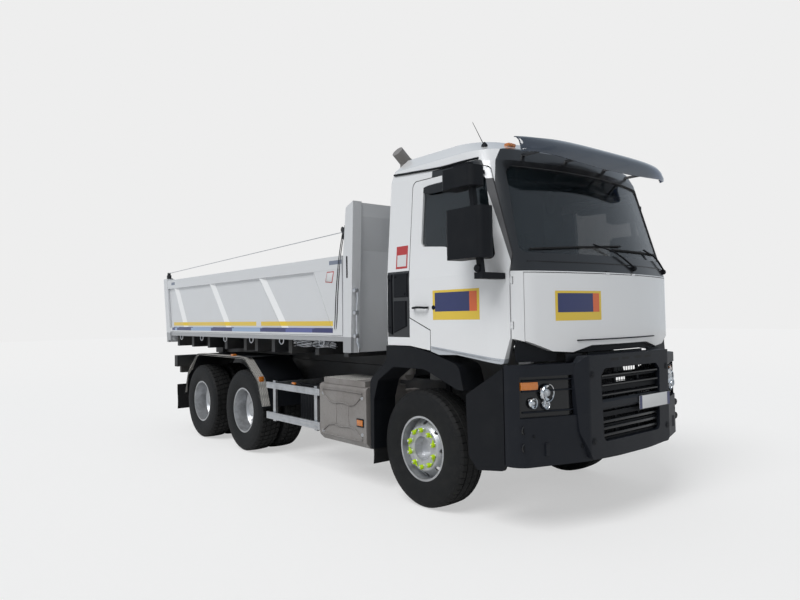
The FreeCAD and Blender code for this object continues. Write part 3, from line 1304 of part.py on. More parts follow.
def make_side_board():
    """The right side wall: a panel with a top rail and slanted pressed ribs."""
    outer = -half_width
    front = ahead(-S["bed_front"]) - S["headboard_depth"] - S["side_gap"]
    low, high = S["floor_top"] + S["bed_gap"], S["side_top"]
    slack = 6 + S["post_depth"] + S["side_gap"]
    rear_low, rear_high = tail_line(low) + slack, tail_line(high) + slack
    panel = prism("side_panel", "XZ", [(front, low), (front, high), (rear_high, high), (rear_low, low)],
                  outer + 30, outer + 30 + S["side_thickness"])
    rail = prism("side_rail", "XZ", [
        (front, high - 140), (front, high), (rear_high, high), (tail_line(high - 140) + slack, high - 140),
    ], outer, outer + 30)
    foot = prism("side_foot", "XZ", [
        (front, low), (front, low + 65), (tail_line(low + 65) + slack, low + 65), (rear_low, low),
    ], outer, outer + 30)
    slope, crest = 110, S["rib_width"]
    tops = (bed_back + 385, bed_back + 1792, front - 1746)
    ribs = [
        leaning_rib(f"side_rib_{n}", outer, (top + run, top), (crest, crest), slope)
        for n, (top, run) in enumerate(zip(tops, (417, 560, 583)))
    ]
    ribs.append(leaning_rib("side_rib_front", outer, (front, front), (190, 560), 0))
    form = fuse("side_board_form", [panel, rail, foot] + ribs)
    bores = [
        rod(f"swing_bore_{n}", (x, -board_hinge_y, board_hinge_z), "X",
            S["swing_pin_radius"] + S["bearing_gap"], 90)
        for n, x in enumerate((front - 80, rear_high - 10))
    ]
    return cut("side_board_right", form, bores)


def make_cylinder():
    """The telescopic cylinder under the bed: a barrel on trunnions and four sliding stages."""
    x, pivot = rear_axles[0] + S["cylinder_lead"], S["cylinder_pivot_height"]
    low, high = pivot - S["barrel_below"], pivot + S["barrel_above"]
    radius, wall = S["barrel_radius"], S["stage_wall"]
    skin = rod("barrel_skin", (x, 0, low), "Z", radius, high - low)
    hollow = rod("barrel_hole", (x, 0, low + 20), "Z", radius - wall, high - low)
    trunnion = rod("barrel_trunnion", (x, -S["cradle_out"] + 3, pivot), "Y", S["trunnion_radius"],
                   (S["cradle_out"] - 3) * 2)
    core = rod("barrel_core", (x, 0, low - 20), "Z", radius - wall / 2, high - low + 60)
    tubes = [fuse("barrel", [cut("barrel_tube", skin, [hollow]), cut("trunnion_pins", trunnion, [core])])]
    for stage in range(1, 5):
        outer = radius - wall - S["stage_gap"] - S["stage_step"] * (stage - 1)
        bottom, top = low + 20 + 4 * stage, high + 10 * stage
        skin = rod(f"stage_skin_{stage}", (x, 0, bottom), "Z", outer, top - bottom)
        if stage < 4:
            hole = rod(f"stage_hole_{stage}", (x, 0, bottom + 3), "Z",
                       outer - S["stage_step"] + S["stage_gap"], top - bottom)
            tubes.append(cut(f"stage_{stage}", skin, [hole]))
            continue
        neck = rod("stage_neck", (x, 0, top), "Z", 26, S["cylinder_eye_height"] - top)
        ball = doc.addObject("Part::Sphere", "stage_ball")
        bind(ball, "Radius", S["ball_radius"])
        place(ball, x, 0, S["cylinder_eye_height"])
        tubes.append(fuse("stage_4", [skin, neck, ball]))
    return tubes


def build():
    nodes = [make_frame(), make_subframe(), make_engine(), make_propshaft(), make_front_axle(),
             make_rear_axles(),
             make_springs(), make_exhaust(), make_fuel_tank(), make_mudguards(), make_side_guards(),
             make_underrun(), make_steps()]
    nodes += [make_bumper(), make_grille(), make_headlamps()]
    cab, cab_form = make_cab()
    nodes += cab
    nodes.append(make_visor())
    nodes += make_cab_inside()
    nodes += [make_mirror("mirror_right", 0, cab_form)]
    nodes += [mirrored("mirror_left", make_mirror("mirror_folded", S["mirror_fold"], cab_form))]
    for side, hand in ((-1, "right"), (1, "left")):
        nodes.append(make_knuckle(f"knuckle_{hand}", side))
        nodes.append(make_tyre(f"tyre_front_{hand}", ahead(0), side, False))
        nodes.append(make_front_rim(f"rim_front_{hand}", side))
        for number, station in enumerate(rear_axles, start=1):
            nodes.append(make_tyre(f"tyre_rear_{number}_{hand}", station, side, True))
            nodes.append(make_twin_rim(f"rim_rear_{number}_{hand}", station, side))
    nodes.append(make_tie_rod())
    board = make_side_board()
    nodes += [make_bed_floor(), make_bed_frame(), make_headboard(), make_tailgate(), board,
              mirrored("side_board_left", board)]
    nodes += make_cylinder()
    return nodes


def check(nodes):
    """Stop if an object failed or a sub-part isn't a sound solid."""
    failed = [item.Label for item in doc.Objects if "Invalid" in item.State or "Error" in item.State]
    failed += [
        item.Label for item in nodes
        if item.Shape.isNull() or not item.Shape.isValid() or item.Shape.Volume <= 0
    ]
    if failed:
        raise RuntimeError("failed: " + ", ".join(failed))


def write(nodes):
    os.makedirs("parts", exist_ok=True)
    for item in nodes:
        item.Shape.exportStep(os.path.join("parts", item.Label + ".step"))


nodes = build()
doc.recompute()
check(nodes)
write(nodes)
print(len(nodes), "sub-parts written")
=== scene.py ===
import math

import bmesh
import bpy
from mathutils import Matrix, Vector
from mathutils.bvhtree import BVHTree


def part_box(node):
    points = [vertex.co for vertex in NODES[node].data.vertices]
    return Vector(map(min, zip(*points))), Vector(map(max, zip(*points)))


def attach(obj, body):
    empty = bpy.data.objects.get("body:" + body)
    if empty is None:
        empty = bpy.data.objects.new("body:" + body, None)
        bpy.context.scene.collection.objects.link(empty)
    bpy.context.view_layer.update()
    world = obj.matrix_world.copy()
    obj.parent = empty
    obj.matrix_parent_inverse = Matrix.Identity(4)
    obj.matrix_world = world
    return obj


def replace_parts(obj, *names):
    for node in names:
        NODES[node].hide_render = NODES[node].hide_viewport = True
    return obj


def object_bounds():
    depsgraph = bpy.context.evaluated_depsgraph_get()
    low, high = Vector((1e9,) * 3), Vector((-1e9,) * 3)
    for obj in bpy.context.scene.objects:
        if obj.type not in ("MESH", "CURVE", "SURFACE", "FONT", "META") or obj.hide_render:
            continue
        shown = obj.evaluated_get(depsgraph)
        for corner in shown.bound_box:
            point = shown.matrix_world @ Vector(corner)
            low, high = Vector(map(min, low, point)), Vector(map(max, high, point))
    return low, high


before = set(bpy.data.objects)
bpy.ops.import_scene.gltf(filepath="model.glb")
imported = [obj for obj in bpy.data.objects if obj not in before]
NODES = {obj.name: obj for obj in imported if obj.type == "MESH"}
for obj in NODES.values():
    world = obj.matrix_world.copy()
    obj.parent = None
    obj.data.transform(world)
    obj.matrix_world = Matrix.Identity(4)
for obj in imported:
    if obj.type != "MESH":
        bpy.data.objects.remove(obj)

bl_info = {
    "name": "Dump Truck Finish",
    "version": (1, 0, 0),
    "blender": (4, 5, 0),
    "location": "View3D > Sidebar > Truck",
    "description": "Paints and fits out a three-axle dump truck over its solid model",
    "category": "Object",
}

CAD_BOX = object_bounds()
HANDS = (("right", -1), ("left", 1))
FORWARD, LEFT, UP = Vector((1, 0, 0)), Vector((0, 1, 0)), Vector((0, 0, 1))


def middle(node):
    low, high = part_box(node)
    return (low + high) / 2


AXLE = middle("rim_front_right").x


def ahead(distance):
    """A place along the truck, ahead of the front axle."""
    return AXLE + distance


def spot(x, y, z):
    """A point of the truck, with x counted from the front axle."""
    return Vector((ahead(x), y, z))


def hand_of(side):
    return "right" if side < 0 else "left"


# Materials

WHITE, BLACK = (0.86, 0.87, 0.885), (0.0, 0.0, 0.0)
CABIN_GREY = (0.10, 0.10, 0.105)
STRIPE_YELLOW = (0.83, 0.58, 0.045)
SMOKE = (0.026, 0.036, 0.056)
BACKDROP = (0.855, 0.855, 0.855)


def operation(name, swapped=False):
    def method(self, *others):
        terms = (*others, self) if swapped else (self, *others)
        return self.look.node("ShaderNodeMath", {"operation": name}, dict(enumerate(terms)))
    return method


class Value:
    """A shader socket that takes part in plain arithmetic."""

    def __init__(self, look, socket):
        self.look, self.socket = look, socket

    __add__, __radd__ = operation("ADD"), operation("ADD", True)
    __sub__, __rsub__ = operation("SUBTRACT"), operation("SUBTRACT", True)
    __mul__, __rmul__ = operation("MULTIPLY"), operation("MULTIPLY", True)
    __truediv__ = operation("DIVIDE")
    __gt__, __lt__ = operation("GREATER_THAN"), operation("LESS_THAN")
    __abs__ = operation("ABSOLUTE")
    least, most = operation("MINIMUM"), operation("MAXIMUM")
    sine, root, wrap = operation("SINE"), operation("SQRT"), operation("WRAP")

    def ramp(self, start, end):
        """0 before start, 1 after end, and a smooth rise between them."""
        return self.look.node("ShaderNodeMapRange", {"interpolation_type": "SMOOTHSTEP"},
                              {"Value": self, "From Min": start, "From Max": end})

    def band(self, low, high, soft=0.0006):
        """1 between two levels and 0 outside them."""
        return self.ramp(low - soft, low + soft) * (1 - self.ramp(high - soft, high + soft))


def find(sockets, key):
    if isinstance(key, int):
        return sockets[key]
    return next(s for s in sockets if key in (s.identifier, s.name))


class Look:
    """A material or world whose nodes come from Python expressions."""

    def __init__(self, name, world=None, **uniform):
        self.material = world or bpy.data.materials.new(name)
        self.material.use_nodes = True
        self.tree = self.material.node_tree
        self.shader = self.tree.nodes["Background" if world else "Principled BSDF"]
        self.set(**uniform)

    def set(self, **values):
        """Feed the shader's sockets, each named with _ for a space."""
        for key, value in values.items():
            self.feed(find(self.shader.inputs, key.replace("_", " ")), value)

    def feed(self, socket, value):
        if isinstance(value, Value):
            self.tree.links.new(value.socket, socket)
        elif socket.type == "RGBA" and len(value) == 3:
            socket.default_value = (*value, 1)
        else:
            socket.default_value = value

    def node(self, kind, settings=None, inputs=None, out=0):
        """A node of that kind with its settings, then its inputs; the result is one of its outputs."""
        made = self.tree.nodes.new(kind)
        for key, value in (settings or {}).items():
            setattr(made, key, value)
        for key, value in (inputs or {}).items():
            self.feed(find(made.inputs, key), value)
        return Value(self, find(made.outputs, out))

    def mix(self, factor, first, second):
        return self.node("ShaderNodeMix", {"data_type": "RGBA"}, {
            "Factor_Float": factor, "A_Color": first, "B_Color": second}, "Result_Color")

    def vector(self, name, first, second, out=0):
        return self.node("ShaderNodeVectorMath", {"operation": name}, {0: first, 1: second}, out)

    def place(self, vector=None, kind="Object"):
        """Three coordinates, of the shaded point in metres unless told otherwise."""
        source = self.node("ShaderNodeSeparateXYZ", inputs={0: vector or self.point(kind)})
        return [Value(self, s) for s in source.socket.node.outputs]

    def point(self, kind="Object"):
        return self.node("ShaderNodeTexCoord", out=kind)

    def noise(self, scale, detail=4.0, roughness=0.55, vector=None):
        return self.node("ShaderNodeTexNoise", inputs={
            "Vector": vector or self.point(), "Scale": scale, "Detail": detail, "Roughness": roughness})

    def bump(self, height, distance):
        self.set(Normal=self.node("ShaderNodeBump", inputs={
            "Height": height, "Distance": distance, "Strength": 1.0}))


def shade(colour, factor):
    return tuple(c * factor for c in colour)


def painted(name, colour, roughness=0.25, coat=0.8, grime=(0.42, 0.40, 0.36), dirt=0.10, peel=0.0004):
    """Sprayed paint with orange peel, faint waves in the sheet and a little dust low down."""
    look = Look(name, Coat_Weight=coat, Coat_Roughness=0.06)
    x, y, z = look.place()
    cloud = look.noise(2.3, 6, 0.6)
    speck = look.noise(90, 2, 0.5)
    low = 1 - z.ramp(0.9, 2.6)
    dust = (cloud.ramp(0.42, 0.75) * 0.6 + speck.ramp(0.55, 0.75) * 0.4) * (0.25 + low) * dirt
    look.colour = look.mix(dust, look.mix(cloud, shade(colour, 0.97), shade(colour, 1.02)), grime)
    look.rough = roughness + dust * 1.5 + speck * 0.03
    look.set(Base_Color=look.colour, Roughness=look.rough)
    look.bump(look.noise(260, 1, 0.5) * 0.35 + look.noise(7, 2, 0.5), peel)
    return look


def plastic(name, colour, roughness=0.55, dust=0.25, grain=0.0004, specular=0.3):
    """Moulded plastic with a fine leathery grain and dust in its hollows."""
    look = Look(name, Specular_IOR_Level=specular)
    cells = look.node("ShaderNodeTexVoronoi", {"feature": "SMOOTH_F1"}, {
        "Vector": look.point(), "Scale": 420.0, "Smoothness": 0.6})
    film = look.noise(4, 5, 0.6).ramp(0.45, 0.8) * dust
    grained = look.mix(cells, shade(colour, 0.75), shade(colour, 1.2))
    look.colour = look.mix(film, grained, (0.10, 0.10, 0.095))
    look.set(Base_Color=look.colour, Roughness=roughness + film * 0.4 + cells * 0.1)
    look.bump(cells + look.noise(900, 1) * 0.3, grain)
    return look


def bumper_plastic():
    """The bumper's dark plastic, with the vents along the top of its frame painted in near-black as the shade
    in their openings.
    """
    look = plastic("bumper_slate", (0.0060, 0.0078, 0.0125), 0.42, 0.04, 0.0003, 0.28)
    x, y, z = look.place()
    # painted shade: near-black slots where the vents' openings would lie in shadow
    vent_shade = (x > ahead(1.43)) * z.band(1.358, 1.380) * (abs(y).band(0.045, 0.155) + abs(y).band(0.205, 0.315))
    look.set(Base_Color=look.mix(vent_shade, look.colour, (0.001, 0.001, 0.001)))
    return look


def metal(name, colour, roughness=0.3, metallic=1.0, scratch=0.0002, along=(1, 1, 1)):
    """Bare or plated metal with fine drawn lines, stains and small scratches."""
    look = Look(name, Metallic=metallic)
    lines = look.noise(240, 3, 0.6, look.vector("MULTIPLY", look.point(), along))
    stain = look.noise(5, 6, 0.65)
    look.colour = look.mix(stain.ramp(0.4, 0.75), colour, shade(colour, 0.72))
    look.set(Base_Color=look.colour, Roughness=roughness + (lines - 0.5) * 0.18 + stain * 0.12)
    look.bump(lines, scratch)
    return look


def cab_paint():
    """White gloss outside, black on the screen's frame and the cowl, dark trim inside."""
    look = painted("cab_white", WHITE, 0.16, 1.0, dirt=0.06, peel=0.0002)
    x, y, z = look.place()
    from_middle = look.vector("SUBTRACT", look.point(), spot(0.42, 0, 2.4))
    trim = look.vector("DOT_PRODUCT", from_middle, look.point("Normal"), "Value") < 0.05
    screen_frame = (x > ahead(0.985) - (z - 2.24) * 0.13) * z.band(2.105, 3.195)
    roof_edge = (x > ahead(0.2)) * z.band(3.012, 3.075) * (abs(y) > 1.13)
    rear_corner = (x < ahead(-0.063)) * (x > ahead(-0.385)) * z.band(1.56, 2.18) * (abs(y) > 1.1)
    black = screen_frame.most(roof_edge).most(rear_corner)
    colour = look.mix(black, look.colour, (0.012, 0.013, 0.015))
    look.set(Base_Color=look.mix(trim, colour, CABIN_GREY),
             Roughness=look.rough + black * 0.12 + trim * 0.4,
             Coat_Weight=(1 - trim) * (1 - black * 0.6))
    return look


def bed_paint():
    """White paint on rolled sheet, with the coloured stripes along the side walls, a grey rail below and a
    painted highlight on the ribs' forward-facing facets.
    """
    look = painted("bed_white", (0.715, 0.73, 0.75), 0.3, 0.5, dirt=0.16, peel=0.0006)
    x, y, z = look.place()
    normal = look.place(kind="Normal")
    side = abs(y) > 1.215
    run = (x > ahead(-6.06)) * (x < ahead(-1.33))
    yellow = z.band(1.662, 1.716) * side * run * (1 - x.band(ahead(-3.16), ahead(-3.03)))
    strip = z.band(1.588, 1.640) * side * run
    navy = 0
    for start, end in ((-6.06, -5.94), (-5.85, -5.27), (-4.52, -3.82), (-3.0, -2.35), (-1.75, -1.3)):
        navy = navy + x.band(ahead(start), ahead(end))
    pale = look.mix(x > ahead(-2.9), (0.30, 0.42, 0.62), (0.085, 0.105, 0.33))
    # painted highlight: side-wall facets that face forward, towards the light, are painted near-white
    rib_facet_highlight = normal[0].ramp(0.12, 0.3) * (normal[0] < 0.93) * side
    colour = look.mix(rib_facet_highlight, look.colour, (0.97, 0.975, 0.98))
    colour = look.mix(side * (z < 1.548), colour, (0.36, 0.37, 0.385))
    colour = look.mix(strip, colour, look.mix(navy, pale, (0.012, 0.018, 0.13)))
    colour = look.mix(yellow, colour, STRIPE_YELLOW)
    tail_outside = (x < ahead(-6.0)) * (normal[0] < -0.5)
    inside = (abs(y) < 1.19) * (z > 1.5) * (x < ahead(-1.15)) * (1 - tail_outside)
    rubbed, scratched = look.noise(9, 8, 0.7).ramp(0.40, 0.70), look.noise(60, 4, 0.7).ramp(0.5, 0.7)
    wear = (rubbed * 0.7 + scratched * 0.3) * inside
    look.set(Base_Color=look.mix(wear * 0.55, colour, (0.33, 0.31, 0.29)), Roughness=look.rough + wear * 0.25)
    return look


def foot_height(x):
    """The level of the silver strip along the door's foot, which falls towards the front."""
    return 1.476 - (x - 0.226) * 0.105


def door_paint():
    """The cab's white with the silver strip along the door's foot, and dark trim inside."""
    look = painted("door_white", WHITE, 0.16, 1.0, dirt=0.06, peel=0.0002)
    x, y, z = look.place()
    strip = (z - foot_height(x - AXLE)).band(-0.062, 0.012) * (x > ahead(0.2))
    inside = (abs(y) < 1.15) * (z < 2.9)
    colour = look.mix(strip, look.colour, (0.50, 0.53, 0.57))
    look.set(Base_Color=look.mix(inside, colour, CABIN_GREY),
             Roughness=look.rough + inside * 0.45, Coat_Weight=1 - inside)
    return look


def rubber():
    """Tyre rubber: rings and fine ribs in the side wall, dust in the tread."""
    look = Look("tyre_rubber", Specular_IOR_Level=0.25)
    x, y, z = look.place()
    radius = (x * x + z * z).root()
    angle = look.node("ShaderNodeMath", {"operation": "ARCTAN2"}, {0: z, 1: x})
    rings = (radius * 900).sine() * radius.band(0.335, 0.46, 0.004) * 0.25
    ribs = (angle * 180).sine() * radius.band(0.475, 0.505, 0.002)
    cloud = look.noise(14, 6, 0.65)
    dust = (cloud.ramp(0.4, 0.75) * 0.5 + radius.ramp(0.50, 0.53) * 0.35).least(1.0)
    look.set(Base_Color=look.mix(dust * 0.6, (0.0075, 0.008, 0.0088), (0.035, 0.034, 0.032)),
             Roughness=0.62 + dust * 0.2)
    look.bump(rings + ribs * 0.5 + look.noise(300, 3, 0.6) * 0.5, 0.0012)
    return look


def wheel_silver():
    look = metal("wheel_silver", (0.60, 0.61, 0.625), 0.34, 0.75, 0.00015)
    dirt = look.noise(11, 7, 0.7).ramp(0.46, 0.68)
    look.set(Base_Color=look.mix(dirt * 0.35, look.colour, (0.20, 0.19, 0.175)))
    return look


def chequer(name, colour, roughness, metallic):
    """Tread plate: short raised bars that cross at right angles."""
    look = metal(name, colour, roughness, metallic)
    x, y, z = look.place()
    pitch, half_width, half_length = 0.034, 0.14, 0.36
    u, v = (x + y) / pitch, (x - y + z) / pitch
    first = (abs(u.wrap(0.5, -0.5)) < half_width) * (abs(v.wrap(0.5, -0.5)) < half_length)
    second = (abs((u + 0.5).wrap(0.5, -0.5)) < half_length) * (abs((v + 0.5).wrap(0.5, -0.5)) < half_width)
    bars = first.most(second)
    look.set(Base_Color=look.mix(bars, shade(colour, 0.62), colour), Roughness=roughness + 0.25 - bars * 0.2)
    look.bump(bars, 0.002)
    return look


def glazing(name, colour, alpha):
    """Tinted glass with a trace of dust."""
    look = Look(name, Coat_Weight=1.0, Coat_Roughness=0.02, Specular_IOR_Level=0.6)
    haze = look.noise(3, 6, 0.7).ramp(0.45, 0.8)
    look.set(Base_Color=look.mix(haze, colour, shade(colour, 1.5)), Alpha=alpha + haze * 0.06,
             Roughness=0.04 + haze * 0.12)
    return look


def visor_smoke():
    """Smoked acrylic, with a painted highlight: bluer at the left end, where the light comes through."""
    look = glazing("visor_smoke", SMOKE, 0.9)
    x, y, z = look.place()
    # painted highlight: the visor turns blue towards its left end
    look.set(Base_Color=look.mix(y.ramp(0.55, 1.05), SMOKE, (0.02, 0.055, 0.19)))
    return look


def lens(name, colour, alpha):
    """A moulded lens with fine upright ribs on its inside."""
    look = Look(name, Coat_Weight=1.0, Coat_Roughness=0.03, Specular_IOR_Level=0.7)
    x, y, z = look.place()
    ribs = ((x + y) * 380).sine() * 0.5 + (z * 300).sine() * 0.25
    look.set(Base_Color=look.mix(look.noise(40, 3), shade(colour, 0.75), colour),
             Alpha=alpha + ribs * 0.08, Roughness=0.12 + ribs * 0.05)
    look.bump(ribs, 0.0008)
    return look


def woven(name, colour):
    look = Look(name, Sheen_Weight=0.4, Sheen_Roughness=0.5, Specular_IOR_Level=0.2)
    x, y, z = look.place()
    warp = ((x + z) * 2400).sine() * ((y + z * 0.5) * 2400).sine()
    fleck = look.noise(300, 2, 0.6).ramp(0.52, 0.66)
    look.set(Base_Color=look.mix(fleck * 0.5, shade(colour, 0.8), shade(colour, 1.6)), Roughness=0.85)
    look.bump(warp, 0.0005)
    return look


def make_looks():
    looks = {
        "cab": cab_paint(), "bed": bed_paint(), "door": door_paint(),
        "rubber": rubber(), "silver": wheel_silver(),
        "white": painted("trim_white", WHITE, 0.18, 1.0, dirt=0.05),
        "chassis": painted("chassis_black", (0.016, 0.017, 0.019), 0.5, 0.1, (0.13, 0.12, 0.105), 0.5,
                           0.0008),
        "engine": painted("engine_grey", (0.10, 0.105, 0.11), 0.6, 0.0, (0.12, 0.10, 0.08), 0.7, 0.002),
        "black": plastic("plastic_black", (0.0045, 0.0055, 0.0080), 0.5, 0.05, specular=0.22),
        "smooth_black": plastic("plastic_gloss_black", (0.006, 0.0065, 0.008), 0.18, 0.05, 0.0001, 0.5),
        "slate": bumper_plastic(),
        "inside": plastic("plastic_inside", (0.09, 0.09, 0.095), 0.6, 0.1),
        "box": painted("silencer_taupe", (0.26, 0.245, 0.235), 0.45, 0.2, (0.12, 0.10, 0.09), 0.45, 0.0006),
        "tank": metal("tank_aluminium", (0.62, 0.63, 0.65), 0.32, 1.0, 0.0002, (0.1, 1, 1)),
        "bright": metal("bright_steel", (0.66, 0.67, 0.69), 0.25),
        "chrome": metal("hard_chrome", (0.72, 0.73, 0.75), 0.12, 1.0, 0.00005, (1, 1, 0.1)),
        "barrel": painted("cylinder_grey", (0.06, 0.065, 0.07), 0.4, 0.3, dirt=0.3),
        "chequer": chequer("tread_plate", (0.66, 0.64, 0.60), 0.4, 0.35),
        "chequer_black": chequer("tread_plate_black", (0.02, 0.021, 0.024), 0.55, 0.0),
        "glass": glazing("window_glass", (0.012, 0.018, 0.022), 0.55),
        "visor": visor_smoke(),
        "mirror": metal("mirror_glass", (0.80, 0.82, 0.84), 0.04, 1.0, 0.00002),
        "clear": lens("lens_clear", (0.75, 0.78, 0.82), 0.45),
        "amber": lens("lens_amber", (0.85, 0.25, 0.02), 0.85),
        "red": lens("lens_red", (0.55, 0.015, 0.012), 0.9),
        "fabric": woven("seat_fabric", (0.045, 0.047, 0.055)),
        "indicator": plastic("nut_pointer", (0.55, 0.80, 0.02), 0.4, 0.02, 0.0001),
        "rubber_plain": plastic("soft_rubber", (0.012, 0.012, 0.013), 0.7, 0.2, 0.0003),
        "sign_yellow": painted("sign_yellow", STRIPE_YELLOW, 0.3, 0.5, dirt=0.05),
        "sign_blue": painted("sign_blue", (0.012, 0.022, 0.12), 0.3, 0.5, dirt=0.03),
        "sign_orange": painted("sign_orange", (0.75, 0.14, 0.03), 0.3, 0.5, dirt=0.05),
        "label_grey": painted("label_grey", (0.20, 0.23, 0.30), 0.4, 0.3, dirt=0.1),
        "plate": painted("blank_plate", (0.74, 0.75, 0.76), 0.35, 0.4, dirt=0.15),
        "red_label": painted("label_red", (0.50, 0.03, 0.03), 0.3, 0.5, dirt=0.05),
    }
    return {key: look.material for key, look in looks.items()}


# Shapes

LOOKS = {}


class Form:
    """One mesh built from turned, swept, cut and rounded pieces."""

    def __init__(self):
        self.mesh = bmesh.new()

    def lathe(self, profile, centre, axis=LEFT, steps=32):
        """Turn a line of (along, radius) about an axis."""
        turn = Vector(axis).normalized().to_track_quat("Z", "Y").to_matrix()
        angles = [2 * math.pi * n / steps for n in range(steps)]
        self.skin([[Vector(centre) + turn @ Vector((radius * math.cos(a), radius * math.sin(a), along))
                    for a in angles] for along, radius in profile])

    def skin(self, rows, round_=True, caps=True):
        """Faces between rows of points; round_ closes each row, and caps closes the two ends."""
        count, last = len(rows[0]), len(rows) - 1
        points = [self.mesh.verts.new(p) for row in rows for p in row]
        faces = []
        for r in range(last):
            for c in range(count if round_ else count - 1):
                d = (c + 1) % count
                faces.append((r * count + c, r * count + d, (r + 1) * count + d, (r + 1) * count + c))
        if caps and round_:
            faces += [range(count - 1, -1, -1), range(last * count, (last + 1) * count)]
        for face in faces:
            self.mesh.faces.new([points[i] for i in face])

    def block(self, low, high, edge=0.004, turn=None, segments=2):
        """A box with rounded edges, turned about its middle by a matrix where one is given."""
        low, high = Vector(low), Vector(high)
        centre, size = (low + high) / 2, high - low
        place = Matrix.Translation(centre) @ (turn.to_4x4() if turn else Matrix.Identity(4))
        made = bmesh.ops.create_cube(self.mesh, size=1, matrix=place @ Matrix.Diagonal((*size, 1)))["verts"]
        edge = min(edge, min(size) * 0.45)
        lines = list({e for v in made for e in v.link_edges})
        bmesh.ops.bevel(self.mesh, geom=lines, offset=edge, segments=segments, profile=0.5, affect="EDGES")

    def around(self, seat, low, high, edge=0.004, segments=2):
        """A block between two corners that are counted from a seat."""
        self.block(seat + Vector(low), seat + Vector(high), edge, None, segments)

    def slab(self, outline, depth, edge=0.003):
        """A flat or bent plate: an outline of points in order, made thick by a vector."""
        depth = Vector(depth)
        points = [Vector(p) for p in outline]
        centre = sum(points, Vector()) / len(points)
        inner = [centre + (p - centre) * (1 - edge / max((p - centre).length, edge * 2)) for p in points]
        step = depth.normalized() * edge
        self.skin([points, [p + depth - step for p in points], [p + depth for p in inner]])

    def tube(self, points, radius, sides=12, flat=1.0, smooth=4):
        """A round or flattened bar along a smooth line through points."""
        line = curve_through(points, smooth)
        rows, side = [], None
        for n, p in enumerate(line):
            way = direction_at(line, n)
            if side is None:
                side = way.cross(UP if abs(way.z) < 0.9 else LEFT).normalized()
            side = (side - way * side.dot(way)).normalized()
            up = way.cross(side)
            rows.append([p + side * (radius * math.cos(a)) + up * (radius * flat * math.sin(a))
                         for a in (2 * math.pi * k / sides for k in range(sides))])
        self.skin(rows)

    def done(self, name, look, body, slot, smooth=35, origin=None):
        """Make the piece, hand it its material and let it ride on its body."""
        bmesh.ops.recalc_face_normals(self.mesh, faces=self.mesh.faces)
        data = bpy.data.meshes.new(name)
        if origin is not None:
            bmesh.ops.translate(self.mesh, verts=self.mesh.verts, vec=-origin)
        self.mesh.to_mesh(data)
        self.mesh.free()
        data.materials.append(LOOKS[look])
        data.shade_smooth()
        piece = bpy.data.objects.new(name, data)
        if origin is not None:
            piece.location = origin
        bpy.context.scene.collection.objects.link(piece)
        if smooth:
            data.set_sharp_from_angle(angle=math.radians(smooth))
        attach(piece, body)
        return piece


def direction_at(line, n):
    """The direction of a line of points at one of them."""
    return (line[min(n + 1, len(line) - 1)] - line[max(n - 1, 0)]).normalized()


def curve_through(points, steps):
    """A smooth line through points, with a number of steps between each two."""
    points = [Vector(p) for p in points]
    if steps < 2 or len(points) < 3:
        return points
    ends = [points[0] * 2 - points[1]] + points + [points[-1] * 2 - points[-2]]
    line = []
    for n in range(1, len(ends) - 2):
        a, b, c, d = ends[n - 1:n + 3]
        for k in range(steps):
            t = k / steps
            line.append(0.5 * (2 * b + (c - a) * t + (2 * a - 5 * b + 4 * c - d) * t * t
                               + (3 * b - a - 3 * c + d) * t ** 3))
    return line + [points[-1]]


class Skin:
    """The outer surface of some nodes, to lay pieces on. Each method gives a point and the normal there."""

    def __init__(self, *nodes):
        points, faces = [], []
        for node in nodes:
            mesh, start = NODES[node].data, len(points)
            points += [v.co.copy() for v in mesh.vertices]
            faces += [[start + i for i in p.vertices] for p in mesh.polygons]
        self.tree = BVHTree.FromPolygons(points, faces)

    def at(self, start, direction):
        """Where a line from start first meets the surface."""
        point, normal, _, _ = self.tree.ray_cast(Vector(start), Vector(direction).normalized())
        if point is None:
            raise RuntimeError(f"nothing is met from {tuple(start)} along {tuple(direction)}")
        if normal.dot(Vector(direction)) > 0:
            normal = -normal
        return point, normal

    def front(self, y, z):
        return self.at(spot(1.9, y, z), -FORWARD)

    def back(self, y, z):
        return self.at(spot(-8, y, z), FORWARD)

    def flank(self, side, x, z):
        return self.at(spot(x, side * 2, z), -side * LEFT)

    def top(self, x, y, start=4):
        return self.at(spot(x, y, start), -UP)


def lifted(hit, height):
    """A point met on a surface, lifted off it along its normal."""
    return hit[0] + hit[1] * height


def single(build, name, look, body, slot, smooth=35):
    """Make one piece; build gets its form."""
    form = Form()
    build(form)
    form.done(name, look, body, slot, smooth)


def pair(build, name, look, body, slot, smooth=35):
    """Make a piece on the right and its mirror image on the left; build gets the form and the side."""
    for hand, side in HANDS:
        form = Form()
        build(form, side)
        form.done(f"{name}_{hand}", look, body.format(hand=hand), slot, smooth)


# Sizes, angles and light strengths that a user would change

class StageSettings(bpy.types.PropertyGroup):
    lens: bpy.props.FloatProperty(
        name="Lens", description="Focal length of the camera", default=29.18, min=10, max=200,
        subtype="DISTANCE_CAMERA")
    azimuth: bpy.props.FloatProperty(
        name="Azimuth", description="Turn of the camera round the truck", default=math.radians(50.27),
        subtype="ANGLE")
    tilt: bpy.props.FloatProperty(
        name="Tilt", description="How far the camera looks up", default=0.0388, subtype="ANGLE")
    roll: bpy.props.FloatProperty(
        name="Roll", description="Turn of the camera about its own line of sight", default=-0.016,
        subtype="ANGLE")
    sky: bpy.props.FloatProperty(
        name="Sky", description="Strength of the even light from all round", default=0.29, min=0, max=3)
    sun: bpy.props.FloatProperty(
        name="Sun", description="Strength of the broad light from the right", default=1.75, min=0, max=10)


class TyreSettings(bpy.types.PropertyGroup):
    blocks: bpy.props.IntProperty(
        name="Blocks", description="Tread blocks round a tyre", default=46, min=20, max=80)
    groove: bpy.props.FloatProperty(
        name="Groove", description="Depth of the tread's grooves", default=0.012, min=0.002, max=0.02,
        subtype="DISTANCE", unit="LENGTH")


# The operators, one for each piece or group of like pieces, after the functions of their pieces

